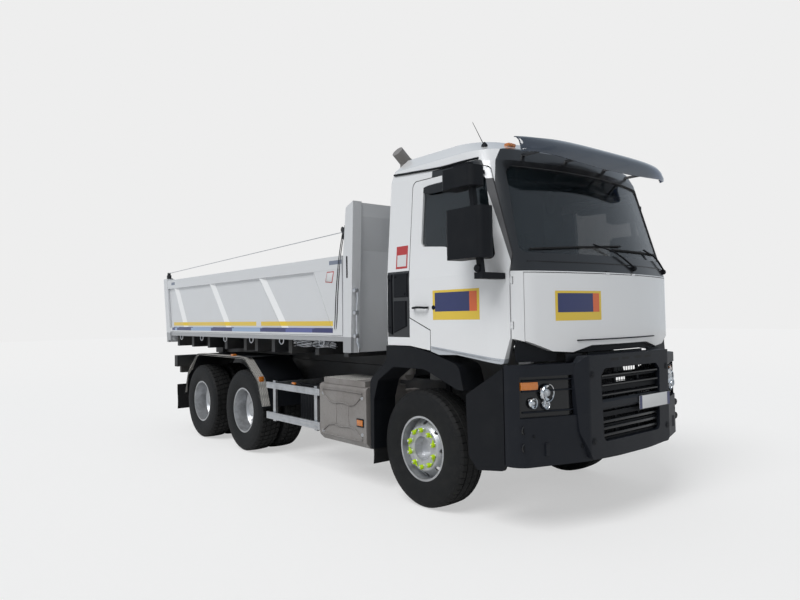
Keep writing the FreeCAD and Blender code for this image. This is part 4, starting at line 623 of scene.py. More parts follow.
class TRUCK_OT_stage(bpy.types.Operator):
    """Set up the camera, the pale floor, the sky and the lamps"""
    bl_idname = "truck.stage"
    bl_label = "Stage"

    def camera(self, scene, settings):
        camera = bpy.data.cameras.new("camera")
        camera.lens, camera.sensor_width = settings.lens, 36
        camera.shift_x, camera.shift_y = -0.0036, -0.0115
        camera.clip_end = 200
        turn, tilt, roll = settings.azimuth, settings.tilt, settings.roll
        sight = Vector((-math.sin(turn) * math.cos(tilt), math.cos(turn) * math.cos(tilt), math.sin(tilt)))
        side = Vector((math.cos(turn), math.sin(turn), 0))
        up = side.cross(sight)
        right = side * math.cos(roll) + up * math.sin(roll)
        top = -side * math.sin(roll) + up * math.cos(roll)
        stand = bpy.data.objects.new("camera", camera)
        stand.matrix_world = Matrix((right, top, -sight)).transposed().to_4x4()
        stand.location = spot(4.531, -5.133, 1.759)
        scene.collection.objects.link(stand)
        scene.camera = stand

    def sky(self, scene, settings):
        """Even light, a pale backdrop for the camera and a darker sky in reflections and behind glass."""
        scene.world = bpy.data.worlds.new("sky")
        look = Look("sky", scene.world)
        rays = [look.node("ShaderNodeLightPath", out=key)
                for key in ("Is Camera Ray", "Is Glossy Ray", "Is Transmission Ray")]
        seen = (rays[0] + rays[1] + rays[2]).least(1.0)
        height = look.place(kind="Generated")[2]
        low, high = (shade((0.95, 0.98, 1.0), settings.sky * share) for share in (0.9, 1.1))
        light = look.mix(height.ramp(-0.2, 0.7), low, high)
        mirrored = look.mix(height.ramp(-0.05, 0.5), (0.62, 0.66, 0.70), (0.36, 0.41, 0.47))
        look.set(Color=look.mix(seen, light, look.mix(rays[0], mirrored, BACKDROP)), Strength=1.0)

    def sun(self, scene, settings):
        sun = bpy.data.lights.new("high_light", "SUN")
        sun.energy, sun.angle = settings.sun, math.radians(32)
        lamp = bpy.data.objects.new("high_light", sun)
        lamp.rotation_euler = (-Vector((0.16, -0.62, 0.77))).to_track_quat("-Z", "Y").to_euler()
        scene.collection.objects.link(lamp)

    def floor(self, scene):
        """A plain floor that fades into the backdrop far off, with no edge to be seen."""
        reach = 60
        floor = bpy.data.meshes.new("floor")
        corners = [(-reach, -reach, 0), (reach, -reach, 0), (reach, reach, 0), (-reach, reach, 0)]
        floor.from_pydata(corners, [], [(0, 1, 2, 3)])
        ground = bpy.data.objects.new("floor", floor)
        ground.location.z = CAD_BOX[0].z - 0.001
        scene.collection.objects.link(ground)
        look = Look("floor_white", Roughness=0.9, Specular_IOR_Level=0.05)
        seen = look.node("ShaderNodeLightPath", out="Is Camera Ray")
        x, y, z = look.place()
        far = (x * x + y * y).root().ramp(8.0, 20.0)
        tone = look.mix(look.noise(0.7, 3, 0.5), (0.84, 0.84, 0.84), (0.86, 0.86, 0.86))
        glow = look.mix(far, (0.49, 0.49, 0.49), BACKDROP)
        look.set(Base_Color=look.mix(seen * far, look.mix(seen, tone, (0.50, 0.50, 0.50)), BLACK),
                 Emission_Color=look.mix(seen, BLACK, glow), Emission_Strength=1.0)
        floor.materials.append(look.material)

    def execute(self, context):
        scene, settings = context.scene, context.scene.truck_stage
        self.camera(scene, settings)
        self.sky(scene, settings)
        self.sun(scene, settings)
        self.floor(scene)
        scene.view_settings.view_transform = "Standard"
        return {"FINISHED"}


class TRUCK_OT_paint(bpy.types.Operator):
    """Give each solid of the model its finish"""
    bl_idname = "truck.paint"
    bl_label = "Paint the solids"

    finishes = {
        "cab": "cab_shell front_hatch", "door": "door_right door_left",
        "bed": "bed_floor headboard tailgate side_board_right side_board_left",
        "chassis": "bed_frame frame subframe propshaft front_axle rear_axles springs underrun "
                   "knuckle_right knuckle_left tie_rod",
        "engine": "engine", "box": "exhaust", "tank": "fuel_tank side_guards",
        "black": "mudguards steps grille mirror_right mirror_left", "slate": "bumper", "visor": "sun_visor",
        "inside": "dashboard", "fabric": "seats", "smooth_black": "headlamps",
        "glass": "windscreen door_glass_right door_glass_left",
        "silver": "rim_front_right rim_front_left rim_rear_1_right rim_rear_1_left "
                  "rim_rear_2_right rim_rear_2_left",
        "barrel": "barrel", "chrome": "stage_1 stage_2 stage_3 stage_4",
    }

    def execute(self, context):
        LOOKS.update(make_looks())
        for key, names in self.finishes.items():
            for piece in (NODES[name] for name in names.split()):
                if not piece.material_slots:
                    piece.data.materials.append(LOOKS[key])
                for slot in piece.material_slots:
                    slot.link = "OBJECT"
                    slot.material = LOOKS[key]
        return {"FINISHED"}


# Tyres and wheels

TYRE_RADIUS = 0.538
TREAD_HALF, CROWN_DROP = 0.12, 0.006
TWIN_SHIFT = 0.1725
WALL_PROFILE = (
    (-0.118, 0.291), (-0.140, 0.297), (-0.148, 0.318), (-0.1535, 0.350), (-0.1565, 0.385), (-0.1572, 0.405),
    (-0.1568, 0.430), (-0.1555, 0.455), (-0.152, 0.478), (-0.1475, 0.494), (-0.1465, 0.4965), (-0.146, 0.506),
    (-0.1385, 0.516), (-0.124, 0.529),
)
SHOULDER, RIB, GROOVE, WALL = range(4)
CROWN_PROFILE = ((-0.120, SHOULDER), (-0.082, SHOULDER), (-0.079, GROOVE), (-0.068, GROOVE), (-0.065, RIB),
                 (-0.006, RIB), (-0.004, GROOVE))
BLOCK_SHARES = (0.0, 0.40, 0.80, 0.84, 0.96)


def tread_cut(kind, part, radius, groove, drive):
    """How deep one point of the tyre lies under the plain line; parts above 2 are the gap between blocks."""
    if kind == GROOVE:
        return groove
    if part > 2:
        if kind == SHOULDER:
            return groove if drive else groove * 0.5
        if kind == RIB:
            return groove * 0.9 if drive else groove * 0.2
        if radius > 0.503:
            return 0.006 if drive else 0.003
    return 0


def tyre(form, centre, blocks, groove, drive):
    """One tyre: four ribs between three grooves, cut across at every block."""
    crown = [*CROWN_PROFILE, *((-y, kind) for y, kind in reversed(CROWN_PROFILE))]
    line = [(y, r, WALL) for y, r in WALL_PROFILE]
    line += [(y, TYRE_RADIUS - CROWN_DROP * (abs(y) / TREAD_HALF) ** 2, kind) for y, kind in crown]
    line += [(-y, r, WALL) for y, r in reversed(WALL_PROFILE)]
    rows = []
    for y, radius, kind in line:
        lean = 0.35 * y / TREAD_HALF if drive and kind < GROOVE else 0
        row = []
        for n in range(blocks * len(BLOCK_SHARES)):
            block, part = divmod(n, len(BLOCK_SHARES))
            angle = 2 * math.pi * (block + BLOCK_SHARES[part] + lean) / blocks
            r = radius - tread_cut(kind, part, radius, groove, drive)
            row.append(centre + Vector((r * math.cos(angle), y, r * math.sin(angle))))
        rows.append(row)
    form.skin(rows, caps=False)
    form.skin([rows[-1], rows[0]], caps=False)


class TRUCK_OT_tyres(bpy.types.Operator):
    """Replace the plain tyres by tyres with beads, shoulders and a cut tread"""
    bl_idname = "truck.tyres"
    bl_label = "Tyres"

    def execute(self, context):
        settings = context.scene.truck_tyres
        for hand, side in HANDS:
            for wheel in (f"front_{hand}", f"rear_1_{hand}", f"rear_2_{hand}"):
                drive = wheel.startswith("rear")
                blocks = settings.blocks if drive else settings.blocks + 8
                centre = middle(f"tyre_{wheel}")
                form = Form()
                for shift in (-TWIN_SHIFT, TWIN_SHIFT) if drive else (0,):
                    tyre(form, centre + LEFT * shift, blocks, settings.groove, drive)
                piece = form.done(f"rubber_{wheel}", "rubber", f"wheel_{wheel}", "tyre_rubber", 28, centre)
                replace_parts(piece, f"tyre_{wheel}")
        return {"FINISHED"}


NUTS = 10
NUT_CIRCLE = 0.1675


def nut_seats(wheel, side):
    """The seat and the direction from the hub of each nut."""
    skin, centre = Skin(f"rim_{wheel}"), middle(f"rim_{wheel}")
    for n in range(NUTS):
        angle = math.radians(18 + 360 / NUTS * n)
        spoke = Vector((math.cos(angle), 0, math.sin(angle)))
        yield n, skin.at(centre + spoke * NUT_CIRCLE + LEFT * side * 0.5, -side * LEFT)[0], spoke


def nuts(form, wheel, side):
    for n, seat, spoke in nut_seats(wheel, side):
        form.lathe([(-0.002, 0.024), (0.005, 0.024), (0.006, 0.020)], seat, LEFT * side, 20)
        form.lathe([(0.005, 0.0185), (0.026, 0.0185), (0.029, 0.016)], seat, LEFT * side, 6)
        form.lathe([(0.027, 0.0105), (0.044, 0.0105), (0.046, 0.009)], seat, LEFT * side, 12)


def nut_pointers(form, wheel, side):
    """A cap on each nut with a pointer; the pointers of two neighbours face each other."""
    out = LEFT * side
    for n, seat, spoke in nut_seats(wheel, side):
        form.lathe([(0.006, 0.0225), (0.016, 0.0225), (0.034, 0.0185), (0.036, 0.016)], seat, out, 14)
        lean = (spoke * 0.2 + spoke.cross(out) * (1 if n % 2 else -1)).normalized()
        wide = lean.cross(out) * 0.0125
        root = seat + out * 0.006 + lean * 0.018
        form.slab([root + wide, seat + out * 0.006 + lean * 0.052, root - wide], out * 0.008, 0.001)


class TRUCK_OT_wheel_fittings(bpy.types.Operator):
    """Add the wheel nuts, and the nut pointers of the front wheels"""
    bl_idname = "truck.wheel_fittings"
    bl_label = "Wheel fittings"

    def execute(self, context):
        for axle in ("front", "rear_1", "rear_2"):
            for hand, side in HANDS:
                wheel = f"{axle}_{hand}"
                body, form = f"wheel_{wheel}", Form()
                nuts(form, wheel, side)
                form.done(f"nuts_{body}", "bright", body, "wheel_silver", 30)
                if axle == "front":
                    form = Form()
                    nut_pointers(form, wheel, side)
                    form.done(f"pointers_{body}", "indicator", body, "wheel_silver", 30)
        return {"FINISHED"}


# Headlamps

LAMPS = ((0.95, 1.13, 0.066), (1.075, 1.055, 0.040), (0.965, 1.035, 0.032))


def lamp_ring(form, side, out, profile, steps):
    """Turn a profile of (along, share of the lamp's radius) on each lamp's place."""
    skin = Skin("headlamps")
    for y, z, radius in LAMPS:
        seat = skin.front(side * y, z)[0] + FORWARD * out
        form.lathe([(along, radius * share) for along, share in profile], seat, FORWARD, steps)


def lamp_bowls(form, side):
    bowl = ((0.0, 0.5), (0.010, 0.92), (0.026, 1), (0.028, 1.06), (0.022, 1.12), (0.0, 1.14))
    lamp_ring(form, side, 0.001, bowl, 40)
    lamp_ring(form, side, 0.001, ((0.001, 0.50), (0.012, 0.46), (0.018, 0.30)), 32)


def lamp_eyes(form, side):
    lamp_ring(form, side, 0, ((0.016, 0.44), (0.026, 0.36), (0.032, 0.18)), 32)


def turn_lamp(form, side):
    skin, height = Skin("headlamps"), 1.19
    section = ((0.001, -0.032), (0.012, -0.030), (0.018, 0.0), (0.012, 0.030), (0.001, 0.032))
    form.skin([[skin.front(side * y, height)[0] + Vector((out, 0, up)) for out, up in section]
               for y in (1.17, 1.13, 1.08, 1.03)])


def lamp_brow(form, side):
    """The bars above, between and below the lamps."""
    skin = Skin("headlamps")
    for z, thick in ((1.232, 0.012), (1.148, 0.010), (0.985, 0.012)):
        form.tube([skin.front(side * y, z)[0] + FORWARD * 0.006
                   for y in (1.16, 1.10, 1.02, 0.93, 0.84, 0.76, 0.68)], thick, 10, 0.6, 3)


class TRUCK_OT_headlamps(bpy.types.Operator):
    """Add the lamps in the bumper's corners, with reflectors, projectors, turn lamps and the bars round them
    """
    bl_idname = "truck.headlamps"
    bl_label = "Headlamps"

    def execute(self, context):
        pair(lamp_bowls, "lamp_bowls", "mirror", "chassis", "lamp_lens")
        pair(lamp_eyes, "lamp_eyes", "clear", "chassis", "lamp_lens")
        pair(turn_lamp, "turn_lamp", "amber", "chassis", "lamp_lens")
        pair(lamp_brow, "lamp_brow", "slate", "chassis", "bumper_dark")
        return {"FINISHED"}


# Bumper and grille

PLATE_Y, PLATE_LOW, PLATE_HIGH, PLATE_HALF = 0.37, 0.908, 1.024, 0.260


def bumper_bolts(form):
    skin = Skin("bumper")
    places = ((0.585, 1.26, 0.026), (0.575, 0.72, 0.026), (0.66, 0.69, 0.014), (1.09, 0.80, 0.012))
    profile = ((-0.001, 1.2), (0.002, 1.2), (0.003, 0.8), (0.001, 0.7), (0.004, 0.6), (0.005, 0.45))
    for side in (-1, 1):
        for y, z, radius in places:
            form.lathe([(x, radius * share) for x, share in profile], skin.front(y * side, z)[0], FORWARD, 24)


def bumper_sensors(form):
    skin = Skin("bumper")
    for side in (-1, 1):
        for z in (0.853, 0.716):
            form.lathe([(-0.002, 0.034), (0.004, 0.034), (0.006, 0.027), (0.002, 0.024), (0.001, 0.010)],
                       skin.front(1.17 * side, z)[0], (1, -0.2 * side, 0), 28)


def grille_mesh(form):
    back, pitch, wire = spot(1.374, 0, 0), 0.039, 0.003
    for n in range(26):
        y = -0.4875 + n * pitch
        form.around(back, (-0.004, y - wire, 0.645), (0, y + wire, 1.305), 0.001, 1)
    for n in range(17):
        z = 0.665 + n * pitch
        form.around(back, (-0.006, -0.497, z - wire), (-0.003, 0.497, z + wire), 0.001, 1)


def grille_slats(form):
    """Three bent slats above and three flat ones below."""
    section = ((0, -0.012), (0.009, -0.004), (0.009, 0.008), (0, 0.014), (-0.020, 0.018), (-0.020, 0.006))
    for z in (1.075, 1.155, 1.235):
        form.skin([[spot(1.428 + out, y, z + up) for out, up in section]
                   for y in (-0.44, -0.22, 0.0, 0.22, 0.44)])
    for z in (0.745, 0.80, 0.855):
        form.block(spot(1.408, -0.438, z - 0.012), spot(1.428, 0.438, z + 0.012), 0.006)


def bumper_top_seal(form):
    """Three blocks, with a gap on each side for the cab's tilt arm."""
    for start, end in ((-0.725, -0.515), (-0.425, 0.425), (0.515, 0.725)):
        form.block(spot(1.286, start, 1.358), spot(1.300, end, 1.426), 0.004)


def plate_block(form, low_y, high_y, out, thick, grow, edge, segments=2):
    """A flat block on the number plate's place, grown upwards and downwards."""
    x = 1.4405 + out
    form.block(spot(x, low_y, PLATE_LOW - grow), spot(x + thick, high_y, PLATE_HIGH + grow), edge,
               segments=segments)


def plate_holder(form):
    plate_block(form, PLATE_Y - PLATE_HALF - 0.008, PLATE_Y + PLATE_HALF + 0.008, 0, 0.005, 0.008, 0.003)


def number_plate(form):
    plate_block(form, PLATE_Y - PLATE_HALF, PLATE_Y + PLATE_HALF, 0.004, 0.0025, 0, 0.002)


def plate_ends(form):
    for start, end in ((-0.259, -0.215), (0.215, 0.259)):
        plate_block(form, PLATE_Y + start, PLATE_Y + end, 0.0062, 0.001, -0.001, 0.0004, 1)


def tow_cover(form):
    form.around(spot(1.40, -0.30, 0.67), (0, -0.045, -0.035), (0.035, 0.045, 0.035), 0.008)


class TRUCK_OT_bumper_fittings(bpy.types.Operator):
    """Add the bumper's bolts, sensors, seal, tow cover and number plate, and the grille's mesh and slats"""
    bl_idname = "truck.bumper_fittings"
    bl_label = "Bumper and grille"

    def execute(self, context):
        single(bumper_bolts, "bumper_bolts", "black", "chassis", "bumper_dark")
        single(bumper_sensors, "bumper_sensors", "smooth_black", "chassis", "bumper_dark")
        single(grille_mesh, "grille_mesh", "black", "chassis", "plastic_black")
        single(grille_slats, "grille_slats", "smooth_black", "chassis", "plastic_black")
        single(bumper_top_seal, "bumper_top_seal", "black", "chassis", "bumper_dark")
        single(plate_holder, "plate_holder", "black", "chassis", "bumper_dark")
        single(number_plate, "number_plate", "plate", "chassis", "cab_white")
        single(plate_ends, "plate_ends", "sign_blue", "chassis", "cab_white")
        single(tow_cover, "tow_cover", "black", "chassis", "bumper_dark")
        return {"FINISHED"}


# Wipers and what hangs inside the screen; each wiper has its pivot, the blade's middle and the blade's end

WIPERS = (((0.235, 2.155), (-0.28, 2.345), (-0.98, 2.285)), ((1.02, 2.155), (0.60, 2.345), (-0.02, 2.315)))


def wiper_arms(form):
    glass, cowl = Skin("windscreen"), Skin("cab_shell", "front_hatch")
    for pivot, tip, _ in WIPERS:
        root = cowl.front(*pivot)[0]
        form.lathe([(-0.004, 0.026), (0.020, 0.026), (0.030, 0.020), (0.034, 0.010)], root, (1, 0, 0.15), 24)
        half_way = glass.front((pivot[0] + tip[0]) / 2, max((pivot[1] + tip[1]) / 2, 2.27))
        form.tube([root + FORWARD * 0.026, lifted(half_way, 0.045), lifted(glass.front(*tip), 0.022)],
                  0.011, 10, 0.55, 8)


def wiper_blades(form):
    glass, steps = Skin("windscreen"), 6
    for _, (tip_y, tip_z), (y, z) in WIPERS:
        run, rise = 2 * (tip_y - y) - 0.28, 2 * (tip_z - z) - 0.05
        places = [(y + run * k / steps, z + rise * k / steps) for k in range(steps + 1)]
        form.tube([lifted(glass.front(y, z), 0.010) for y, z in places], 0.012, 8, 0.7, 2)
        form.tube([lifted(glass.front(y, z - 0.004), 0.003) for y, z in places], 0.004, 6, 1.0, 2)


def inside_mirror(form):
    form.lathe([(0, 0.012), (0.06, 0.012)], spot(0.93, -0.37, 2.86), (-0.4, 0, -1), 16)
    rows = []
    for k in range(9):
        half = 0.075 * math.sqrt(max(0.08, 1 - ((k - 4) / 4.4) ** 2))
        rows.append([spot(0.90 + 0.02 * math.cos(a), -0.37 + half * math.sin(a), 2.66 + 0.2 * k / 8)
                     for a in (2 * math.pi * m / 20 for m in range(20))])
    form.skin(rows)


def sun_blinds(form):
    for start, end in ((-0.92, -0.05), (0.05, 0.92)):
        form.block(spot(0.70, start, 2.905), spot(0.93, end, 2.93), 0.01)


class TRUCK_OT_wipers(bpy.types.Operator):
    """Add the two wipers, the mirror inside the screen and the sun blinds"""
    bl_idname = "truck.wipers"
    bl_label = "Wipers and inside mirror"

    def execute(self, context):
        single(wiper_arms, "wiper_arms", "black", "cab", "plastic_black")
        single(wiper_blades, "wiper_blades", "rubber_plain", "cab", "plastic_black")
        single(inside_mirror, "inside_mirror", "black", "cab", "plastic_inside")
        single(sun_blinds, "sun_blinds", "inside", "cab", "plastic_inside")
        return {"FINISHED"}


# Blank signs

SIGN_FIELDS = (
    ("edge", "sign_yellow", 0.0, 1.0, 0.0, 1.0, 0.0009),
    ("field", "sign_blue", 0.05, 0.95, 0.28, 0.92, 0.0014),
    ("end", "sign_orange", 0.80, 0.95, 0.28, 0.92, 0.0019),
)


def sticker(name, look, body, meet, corners, height, steps=10):
    """A thin sheet between two opposite corners, laid on a surface by its own rows."""
    u0, u1, v0, v1 = corners
    form = Form()
    form.skin([[lifted(meet(u0 + (u1 - u0) * c / steps, v0 + (v1 - v0) * r / steps), height)
                for c in range(steps + 1)] for r in range(steps + 1)], round_=False)
    form.done(name, look, body, "cab_white", 0)


def sign(name, body, meet, left, right, low, high):
    wide, tall = right - left, high - low
    for part, look, a, b, c, d, height in SIGN_FIELDS:
        corners = (left + wide * a, left + wide * b, low + tall * c, low + tall * d)
        sticker(f"sign_{name}_{part}", look, body, meet, corners, height)


class TRUCK_OT_signs(bpy.types.Operator):
    """Lay the blank signs on the doors and the front, and the red and white sticker on the cab's side"""
    bl_idname = "truck.signs"
    bl_label = "Blank signs"

    def execute(self, context):
        sign("front", "hatch", Skin("front_hatch").front, -0.82, -0.30, 1.700, 1.945)
        for hand, side in HANDS:
            left, right = (0.26, 0.83) if side < 0 else (0.83, 0.26)
            door = Skin(f"door_{hand}")
            sign(hand, f"door_{hand}_body", lambda x, z: door.flank(side, x, z), left, right, 1.72, 1.98)
        shell = Skin("cab_shell")
        for part, look, corners, height in (("red", "red_label", (-0.262, -0.095, 2.205, 2.42), 0.001),
                                            ("pale", "plate", (-0.245, -0.112, 2.225, 2.335), 0.0015)):
            sticker(f"cab_sticker_{part}", look, "cab", lambda x, z: shell.flank(-1, x, z), corners, height,
                    4)
        return {"FINISHED"}


class TRUCK_OT_visor(bpy.types.Operator):
    """Replace the plain visor by a bowed shell that narrows to its ends"""
    bl_idname = "truck.visor"
    bl_label = "Sun visor"

    def execute(self, context):
        low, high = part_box("sun_visor")
        back, half, steps = low.x + 0.002, high.y - 0.003, 60
        form, rows = Form(), []
        for n in range(steps + 1):
            y = half * math.sin(math.pi * (n / steps - 0.5))
            end = abs(y) / half
            front = back + 0.07 + 0.15 * (1 - end ** 7) ** 0.7
            top, crest = high.z - 0.002 - 0.02 * end ** 4, 3.185 - 0.055 * end ** 3
            lip, span = 3.018 + 0.05 * end ** 2, front - back
            brow, half_way = (top + crest) / 2, (crest + lip) / 2
            outer = [(back, top), (back + span * 0.35, top - 0.008), (back + span * 0.72, brow + 0.004),
                     (back + span * 0.94, crest - 0.012), (front, crest - 0.045),
                     (front + 0.006, half_way - 0.01), (front + 0.008, lip + 0.02), (front + 0.006, lip)]
            inner = [(x - 0.007, z - 0.006 * (k < 3)) for k, (x, z) in enumerate(outer)]
            rows.append([Vector((x, y, z)) for x, z in outer + inner[::-1]])
        form.skin(rows)
        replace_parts(form.done("visor_shell", "visor", "cab", "plastic_smoked", 50), "sun_visor")
        return {"FINISHED"}


# Cab trim

def drip_rail(form, side):
    shell = Skin("cab_shell")
    places = ((-0.362, 3.133), (-0.19, 3.118), (-0.02, 3.106), (0.16, 3.092), (0.345, 3.082), (0.55, 3.082),
              (0.75, 3.086))
    form.tube([lifted(shell.flank(side, x, z), 0.008) for x, z in places], 0.013, 10, 0.8, 4)


def door_skin(side):
    return Skin(f"door_{hand_of(side)}", f"door_glass_{hand_of(side)}")


def wind_deflector(form, side):
    door, rows = door_skin(side), []
    for x, z, drop in ((0.10, 2.935, 0.0), (0.16, 2.945, 0.030), (0.30, 2.948, 0.038), (0.48, 2.948, 0.040),
                       (0.62, 2.946, 0.040), (0.74, 2.940, 0.030), (0.80, 2.925, 0.0)):
        top, normal = door.flank(side, x, z)
        low = door.flank(side, x, z - 0.05 - drop)[0]
        rows.append([top + normal * 0.001, top + normal * 0.009, low + normal * 0.030, low + normal * 0.027])
    form.skin(rows)


def door_handle(form, side):
    """A bowed handle and, ahead of it, the lock."""
    point, normal = door_skin(side).flank(side, 0.10, 1.83)
    places = ((-0.085, 0.0, 0.006), (-0.07, 0.0, 0.034), (0.0, 0.004, 0.042), (0.085, 0.0, 0.036),
              (0.10, 0.0, 0.006))
    form.tube([point + Vector((x, 0, z)) + normal * out for x, z, out in places], 0.014, 10, 0.75, 5)
    form.lathe([(0.0, 0.020), (0.006, 0.019), (0.007, 0.008)], point + FORWARD * 0.17, normal, 24)


def corner_panel(form, side):
    """Three plates behind the door, with their screws."""
    shell = Skin("cab_shell")
    out = shell.flank(side, -0.2, 1.9)[1] * 0.012
    for outline in (((-0.375, 1.60), (-0.315, 1.58), (-0.315, 2.16), (-0.375, 2.16)),
                    ((-0.285, 1.60), (-0.105, 1.66), (-0.105, 1.90), (-0.285, 1.90)),
                    ((-0.285, 1.935), (-0.085, 1.935), (-0.085, 2.16), (-0.285, 2.16))):
        form.slab([shell.flank(side, x, z)[0] for x, z in outline], out, 0.008)
    for x, z in ((-0.345, 2.10), (-0.345, 1.65), (-0.12, 1.965), (-0.26, 2.13)):
        form.lathe([(0.011, 0.011), (0.018, 0.009), (0.019, 0.004)], *shell.flank(side, x, z), 14)


def foot_strip(form, side):
    door = door_skin(side)
    form.tube([lifted(door.flank(side, x, foot_height(x)), 0.003)
               for x in (0.24, 0.40, 0.58, 0.76, 0.90, 1.02)], 0.007, 8, 0.6, 2)


def aerial(form):
    """A rod that leans back and ends just under the top of the whole truck."""
    base = Skin("cab_shell").top(0.70, -1.00)[0]
    lean, rise = -0.49, 0.87
    form.lathe([(-0.01, 0.030), (0.012, 0.027), (0.030, 0.012), (0.036, 0.007)], base, UP, 24)
    form.lathe([(0.03, 0.0035), ((CAD_BOX[1].z - base.z - 0.008) / rise, 0.0022)], base, (lean, 0, rise), 8)


def roof_lamps(form):
    for y in (-0.78, 0.78):
        form.around(Skin("cab_shell").top(0.80, y)[0], (-0.03, -0.05, -0.006), (0.03, 0.05, 0.024), 0.012)


def cowl_panel_and_gap_shade(form):
    """The dark panel under the hatch, from one side to the other, lower outside the bumper's frame; part
    black plastic, part painted shade for the gap between the hatch and the bumper.
    """
    # painted shade: this black panel also stands for the shadow gap under the hatch
    right = []
    for y, x, top in (
            (-1.15, 1.134, 1.535), (-1.10, 1.146, 1.56), (-1.05, 1.159, 1.59), (-0.90, 1.207, 1.53),
            (-0.775, 1.236, 1.50), (-0.765, 1.238, 1.50), (-0.60, 1.273, 1.50), (-0.45, 1.296, 1.54),
            (-0.30, 1.312, 1.54), (0.0, 1.325, 1.54)):
        low = 1.376 if y < -0.77 else 1.434
        half_way = (low + top) / 2
        right.append([spot(x, y, low), spot(x - 0.006, y, half_way), spot(x, y, top), spot(x - 0.012, y, top),
                      spot(x - 0.018, y, half_way), spot(x - 0.012, y, low)])
    left = [[p * Vector((1, -1, 1)) for p in row] for row in right[-2::-1]]
    form.skin(right + left)


def cowl_seam(form):
    shell = Skin("cab_shell")
    form.tube([shell.front(y, 2.185)[0] + FORWARD * 0.004
               for y in (-1.05, -0.85, -0.6, -0.3, 0.0, 0.3, 0.6, 0.85, 1.05)], 0.004, 6, 1.0, 3)


def hatch_foot_seal(form):
    hatch = Skin("front_hatch")
    form.tube([hatch.front(y, 1.535)[0] + FORWARD * 0.005 for y in (-0.6, -0.3, 0.0, 0.3, 0.6)],
              0.008, 8, 0.7, 3)


class TRUCK_OT_cab_trim(bpy.types.Operator):
    """Add drip rails, wind deflectors, door handles, rear corner panels, aerial, roof lamps and cowl, partly
    painted shade
    """
    bl_idname = "truck.cab_trim"
    bl_label = "Cab trim"

    def execute(self, context):
        door = "door_{hand}_body"
        pair(drip_rail, "drip_rail", "black", "cab", "plastic_black")
        pair(wind_deflector, "wind_deflector", "smooth_black", door, "plastic_black")
        pair(door_handle, "door_handle", "black", door, "plastic_black")
        pair(corner_panel, "cab_corner_panel", "black", "cab", "plastic_black")
        pair(foot_strip, "door_foot_strip", "bright", door, "cab_white")
        single(aerial, "aerial", "black", "cab", "plastic_black")
        single(roof_lamps, "roof_lamps", "amber", "cab", "lamp_lens")
        # the cowl panel is black plastic and, in part, painted shade
        single(cowl_panel_and_gap_shade, "cowl_panel_and_gap_shade", "black", "cab", "plastic_black")
        single(cowl_seam, "cowl_seam", "smooth_black", "cab", "plastic_black")
        single(hatch_foot_seal, "hatch_foot_seal", "black", "hatch", "plastic_black")
        return {"FINISHED"}


class TRUCK_OT_mirrors(bpy.types.Operator):
    """Add the mirror glasses, their rims and the joints of the mirror arms"""
    bl_idname = "truck.mirrors"
    bl_label = "Mirrors"

    def execute(self, context):
        for hand, side in HANDS:
            skin, centre = Skin(f"mirror_{hand}"), middle(f"mirror_{hand}")
            y = centre.y + side * 0.06
            rim, glass, joint = Form(), Form(), Form()
            for low, high, half in ((2.235, 2.565, 0.055), (2.795, 2.905, 0.05)):
                back = skin.at((centre.x - 1, y, (low + high) / 2), FORWARD)[0]
                tall, wide = (high - low) / 2, half + 0.012
                rim.around(back, (-0.006, -wide, -tall - 0.012), (0.02, wide, tall + 0.012), 0.006)
                glass.around(back, (-0.0075, -half, -tall), (-0.004, half, tall), 0.0015)
            seat = skin.at((centre.x + 0.11, side * 3, 2.12), -side * LEFT)[0]
            joint.lathe([(-0.012, 0.030), (0.012, 0.030), (0.016, 0.024)], seat, side * LEFT, 20)
            body = f"door_{hand}_body"
            rim.done(f"mirror_rims_{hand}", "black", body, "plastic_black")
            glass.done(f"mirror_glass_{hand}", "mirror", body, "plastic_black")
            joint.done(f"mirror_joints_{hand}", "black", body, "plastic_black")
        return {"FINISHED"}


# Bed

def bed_hooks(form, side):
    for x in (-5.726, -4.924, -4.10, -3.30, -2.50, -1.60):
        form.tube([spot(x + along, side * 1.222, z) for along, z in (
            (-0.05, 1.502), (-0.045, 1.462), (0, 1.440), (0.045, 1.462), (0.05, 1.502))], 0.006, 8, 1.0, 5)


def bed_lip(form, side):
    form.tube([spot(x, side * 1.237, 1.556) for x in (-6.15, -4, -1.16)], 0.0065, 8, 1.0, 1)


def post_opening_shades(form, side):
    """Black sheets on the front post's outside that paint the shade of its slot and its three holes."""
    y = side * 1.25
    ends = sorted((y, y - side * 0.004))
    form.block(spot(-1.068, ends[0], 2.166), spot(-1.038, ends[1], 2.397), 0.003)
    for z in (2.05, 1.95, 2.50):
        form.lathe([(-0.003, 0.010), (0.001, 0.010), (0.0015, 0.004)], spot(-1.03, y - side * 0.002, z),
                   LEFT * side, 14)


def bed_latches(form, side):
    """The rod down the front post, its three guides and the handle at its foot."""
    x, y = -0.985, side * 1.215
    form.tube([spot(x + 0.045, y, 2.06), spot(x + 0.050, y - side * 0.01, 1.96), spot(x + 0.046, y, 1.82),
               spot(x + 0.044, y, 1.62), spot(x + 0.052, y, 1.50)], 0.010, 8, 0.8, 4)
    for z in (2.03, 1.80, 1.56):
        form.around(spot(x, y, z), (0.015, -0.028, -0.022), (0.058, 0.028, 0.022), 0.008)
    form.tube([spot(x + 0.052, y, 1.50), spot(x + 0.085, y, 1.445), spot(x + 0.080, y, 1.40)],
              0.013, 10, 0.7, 4)


def rail_labels(form, side):
    skin = Skin(f"side_board_{hand_of(side)}")
    for x, wide in ((-1.27, 0.12), (-6.02, 0.075)):
        form.around(skin.flank(side, x, 2.345)[0], (-wide, -0.001, -0.022), (wide, 0.001, 0.022), 0.0008, 1)


